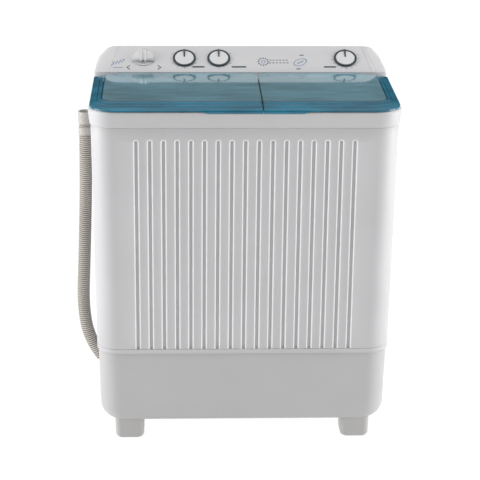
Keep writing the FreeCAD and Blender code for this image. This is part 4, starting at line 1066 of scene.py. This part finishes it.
def make_wash_tub():
    """The tub with a rolled lip, a coved floor and upright ribs in its walls."""
    low, high = TUB_LOW[2], RIM_TOP - MOUTH_DROP
    floor = low + 0.004

    def ring(height, inset):
        return at_height(wash_outline(inset, WASH_CORNER - inset * 0.6), height)

    cove = 0.022
    inside = [ring(high, -0.006), ring(high, -0.001), ring(high - 0.002, 0.0002),
              ring(high - 0.02, 0.0004), ring((low + high) / 2, 0.001)]
    inside += [ring(floor + cove - y, 0.001 + cove - x)
               for x, y in bend(cove, 0, 90, 6)]
    inside += [ring(floor, 0.05), ring(floor - 0.0006, 0.09)]
    outside = [ring(high, -0.006), ring(high - 0.003, -0.0065), ring(high - 0.004, -0.003),
               ring(low + 0.02, -0.003), ring(low + 0.004, 0.004), ring(low, 0.018),
               ring(low, 0.09)]

    def build(work):
        skin(work, inside, start=False)
        skin(work, outside, start=False)

    piece("wash_tub_moulded", build, "tub_plastic", "root", ["wash_tub"], crease=50)

    def ribs(work):
        for number in range(9):
            x = WASH_X - 0.112 + number * 0.028
            for y, way in ((TUB_Y - WASH_HALF_Y + 0.0005, 1),
                           (TUB_Y + WASH_HALF_Y - 0.0005, -1)):
                behind_filter = way < 0 and abs(x - WASH_X) < 0.07
                if behind_filter:
                    continue
                rows = []
                for z, deep in ((low + 0.045, 0.0004), (low + 0.055, 0.0035),
                                (high - 0.11, 0.0035), (high - 0.10, 0.0004)):
                    rows.append([Vector((x - 0.005, y, z)), Vector((x + 0.005, y, z)),
                                 Vector((x + 0.003, y + way * deep, z)),
                                 Vector((x - 0.003, y + way * deep, z))])
                skin(work, rows)
        for number in range(4):
            z = high - 0.14 - number * 0.05
            box_into(work, (WASH_X - WASH_HALF_X + 0.0005, TUB_Y - 0.03, z - 0.0012),
                     (WASH_X - WASH_HALF_X + 0.0022, TUB_Y + 0.03, z + 0.0012))

    add_bevel(piece("wash_tub_ribs", ribs, "tub_plastic", "root"), 0.0008)

    low_drain, high_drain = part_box("drain_valve_body")
    centre = ((low_drain[0] + high_drain[0]) / 2, (low_drain[1] + high_drain[1]) / 2)
    cap = [(0.020, floor + 0.0004), (0.0208, floor + 0.0012), (0.019, floor + 0.003),
           (0.006, floor + 0.0042), (0.001, floor + 0.0043)]
    piece("drain_cap", skinned(lathe_rings(cap, 32, centre)), "pulsator_plastic", "root",
          crease=40)


def make_pulsator():
    """A dished disc with six curved vanes round a domed hub."""
    low, high = PULSATOR_LOW[2], PULSATOR_HIGH[2]
    radius = 0.140
    profile = [(0.010, low), (radius - 0.006, low), (radius - 0.001, low + 0.0015),
               (radius, low + 0.004), (radius - 0.0015, low + 0.0068),
               (radius - 0.006, low + 0.008), (0.105, low + 0.0062), (0.06, low + 0.0066),
               (0.040, low + 0.0085), (0.034, low + 0.016), (0.030, low + 0.0225),
               (0.022, low + 0.0252), (0.012, high - 0.0002), (0.011, high - 0.002),
               (0.001, high - 0.002)]
    vanes, vane_steps = 6, 10

    def build(work):
        skin(work, lathe_rings(profile, 96, (WASH_X, TUB_Y)))
        for number in range(vanes):
            rows = []
            for step in range(vane_steps + 1):
                share = step / vane_steps
                r = 0.030 + (radius - 0.040) * share
                angle = 2 * math.pi * number / vanes + 0.55 * share ** 1.5
                rise = low + 0.0195 - 0.006 * share - (0.0075 if share in (0, 1) else 0)
                half = 0.0075 - 0.0035 * share
                out = Vector((math.cos(angle), math.sin(angle), 0))
                side = Vector((-math.sin(angle), math.cos(angle), 0))
                centre = Vector((WASH_X, TUB_Y, 0)) + out * r
                rows.append([centre + side * w + Vector((0, 0, z)) for w, z in (
                    (-half * 1.5, low + 0.006), (half * 1.5, low + 0.006),
                    (half * 0.9, rise - 0.003), (half * 0.35, rise), (-half * 0.35, rise),
                    (-half * 0.9, rise - 0.003))])
            skin(work, rows)

    piece("pulsator_moulded", build, "pulsator_plastic", "pulsator", ["pulsator"], crease=38)


def make_basket():
    """The spin basket: a drawn steel can pierced with rows of holes, round a plastic cone."""
    low, high = BASKET_LOW[2], BASKET_HIGH[2]
    radius = (BASKET_HIGH[0] - BASKET_LOW[0]) / 2
    columns, steps_each = 36, 4
    steps = columns * steps_each

    def ring(height, r):
        return at_height(circle(r, SPIN_X, TUB_Y, steps), height)

    hole = 0.0026
    heights = [low + 0.012]
    for number in range(15):
        z = low + 0.035 + number * 0.0225
        heights += [z - hole, z + hole]
    heights.append(high)

    def build(work):
        rings = [[work.verts.new(point) for point in ring(z, radius)] for z in heights]
        for level, (lower, upper) in enumerate(zip(rings, rings[1:])):
            pierced = level % 2 == 1
            opening = 1 if level // 2 % 2 else 3
            for step in range(steps):
                if pierced and step % steps_each == opening:
                    continue
                after = (step + 1) % steps
                work.faces.new((lower[step], lower[after], upper[after], upper[step]))
        skin(work, [ring(low + 0.012, radius), ring(low + 0.004, radius - 0.0025),
                    ring(low, radius - 0.010), ring(low, 0.020)], start=False,
             end=False)

    can = piece("spin_basket_can", build, "basket_steel", "spin_rotor", ["spin_basket"],
                crease=50)
    thick = can.modifiers.new("sheet", "SOLIDIFY")
    thick.thickness = 0.0014
    thick.offset = -1
    cone = [(0.116, low + 0.0016), (0.09, low + 0.003), (0.050, low + 0.006),
            (0.036, low + 0.018), (0.028, low + 0.050), (0.024, low + 0.058),
            (0.016, low + 0.060), (0.001, low + 0.060)]
    piece("spin_basket_cone", skinned(lathe_rings(cone, 64, (SPIN_X, TUB_Y))), "tub_plastic",
          "spin_rotor", crease=40)
    ring_low, ring_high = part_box("balance_ring")
    profile = [(0.1065, ring_low[2] + 0.004), (0.1060, ring_high[2] - 0.006),
               (0.1085, ring_high[2] - 0.001), (0.112, ring_high[2]), (0.118, ring_high[2]),
               (0.1215, ring_high[2] - 0.0015), (0.123, ring_high[2] - 0.005),
               (0.123, ring_low[2] + 0.004), (0.121, ring_low[2]), (0.108, ring_low[2])]
    piece("balance_ring_moulded", skinned(lathe_rings(profile, 80, (SPIN_X, TUB_Y)), wrap=True),
          "tub_plastic", "spin_rotor", ["balance_ring"], crease=40)


def make_spin_tub():
    """The round tub that the basket spins in, with a rolled lip and a coved floor."""
    low, high = SPIN_TUB_LOW[2], RIM_TOP - MOUTH_DROP
    profile = [(0.152, high - 0.003), (0.152, high), (0.148, high), (0.1468, high - 0.002),
               (0.1468, high - 0.02), (0.1464, low + 0.020)]
    profile += [(0.1314 + x, low + 0.019 - y) for x, y in bend(0.015, 0, 90, 5)]
    profile += [(0.036, low + 0.0038), (0.0345, low + 0.001)]
    outer = [(0.152, high - 0.003), (0.150, high - 0.005), (0.150, low + 0.006),
             (0.144, low), (0.0345, low)]

    def build(work):
        for side in (profile, outer):
            skin(work, lathe_rings(side, 80, (SPIN_X, TUB_Y)), start=False, end=False)

    piece("spin_tub_moulded", build, "tub_plastic", "root", ["spin_outer_tub"], crease=50)


# ---------------------------------------------------------------- inner lid and filter


def make_inner_lid_relief():
    """Raised rings, spokes and a finger bar on the lid over the basket."""
    low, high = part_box("spin_inner_lid")
    top = (low[2] + high[2]) / 2 + 0.0015
    radius = (high[0] - low[0]) / 2

    def relief(work):
        for outer, inner in ((radius - 0.014, radius - 0.020), (0.040, 0.034)):
            profile = [(inner, top - 0.0004), (inner + 0.0008, top + 0.0012),
                       (outer - 0.0008, top + 0.0012), (outer, top - 0.0004)]
            skin(work, lathe_rings(profile, 72, (SPIN_X, TUB_Y)), wrap=True)
        for spoke in range(12):
            turn = Matrix.Translation((SPIN_X, TUB_Y, top)) @ Matrix.Rotation(
                math.radians(spoke * 30 + 15), 4, "Z")
            box_into(work, (0.041, -0.0011, -0.0004), (radius - 0.021, 0.0011, 0.0010),
                     lambda points: [turn @ Vector(point) for point in points])
        box_into(work, (SPIN_X - 0.026, TUB_Y - radius + 0.030, top - 0.0004),
                 (SPIN_X + 0.026, TUB_Y - radius + 0.036, top + 0.0050))

    add_bevel(piece("inner_lid_relief", relief, "clear_plastic", "inner_lid", crease=40),
              0.0003, 1)


def make_filter_net():
    """Net bars and a lifting ridge on the part of the lint filter above its holder."""
    low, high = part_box("lint_filter")
    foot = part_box("filter_holder")[1][2] + 0.004

    def net(work):
        face, top = low[1], high[2] - 0.012
        columns, rows = 11, 9
        for column in range(columns):
            x = low[0] + 0.009 + (high[0] - low[0] - 0.018) * column / (columns - 1)
            box_into(work, (x - 0.0007, face - 0.0010, foot), (x + 0.0007, face + 0.0005, top))
        for row in range(rows):
            z = foot + (top - foot) * row / (rows - 1)
            box_into(work, (low[0] + 0.006, face - 0.0012, z - 0.0008),
                     (high[0] - 0.006, face + 0.0005, z + 0.0008))
        box_into(work, (low[0] + 0.020, face - 0.0050, high[2] - 0.008),
                 (high[0] - 0.020, face + 0.0005, high[2] - 0.004))

    add_bevel(piece("lint_filter_net", net, "filter_plastic", "lint_filter", crease=40),
              0.0003, 1)


# ---------------------------------------------------------------- carried-over CAD nodes


def finish_cad_nodes():
    """Every CAD node that still shows gets its slot's material."""
    slots = {entry["node"]: entry["material_slot"] for entry in frame["record"]["subparts"]}
    for name, thing in frame["nodes"].items():
        material = MATERIALS["cuff_plastic" if name == "hose_clip" else slots[name]]
        for index in range(len(thing.data.materials)):
            thing.data.materials[index] = material
        if not thing.data.materials:
            thing.data.materials.append(material)


def make_service_panel():
    """The back panel: a pressed sheet with a rolled edge and three banks of louvres."""
    low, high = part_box("rear_panel")

    def build(work):
        rings = []
        face = high[1] - 0.0009
        for inset, y in ((0, low[1]), (0, high[1] - 0.0006), (0.0006, high[1]),
                         (0.020, high[1]), (0.0212, high[1] - 0.0008),
                         (0.024, high[1] - 0.0008)):
            loop = outline(low[0] + inset, high[0] - inset, low[2] + inset, high[2] - inset,
                           max(0.002, 0.012 - inset * 0.4), 6)
            rings.append([Vector((x, y, z)) for x, z in loop])
        skin(work, rings)
        for bank in (-1, 0, 1):
            for number in range(9):
                z = low[2] + 0.10 + number * 0.024
                rows = []
                for across, rise in ((-0.052, 0.0), (-0.046, 0.0024), (0.046, 0.0024),
                                     (0.052, 0.0)):
                    x = bank * 0.150 + across
                    rows.append([Vector((x, face, z)), Vector((x, face, z + 0.011)),
                                 Vector((x, face + rise, z + 0.0035)),
                                 Vector((x, face + rise * 0.9, z + 0.0012))])
                skin(work, rows)

    piece("service_panel", build, "zinc_sheet", "root", ["rear_panel"], crease=30)


def main():
    make_materials()
    look_camera()
    studio()
    make_hose()
    make_cabinet()
    make_base()
    make_legs()
    make_rim()
    make_lid_split_shade()
    make_lid("wash_lid", -1)
    make_lid("spin_lid", 1)
    make_console()
    make_console_marks()
    for name in KNOB_X:
        make_knob(name)
    make_water_selector()
    make_wash_tub()
    make_pulsator()
    make_basket()
    make_spin_tub()
    make_service_panel()
    make_inner_lid_relief()
    make_filter_net()
    finish_cad_nodes()


main()
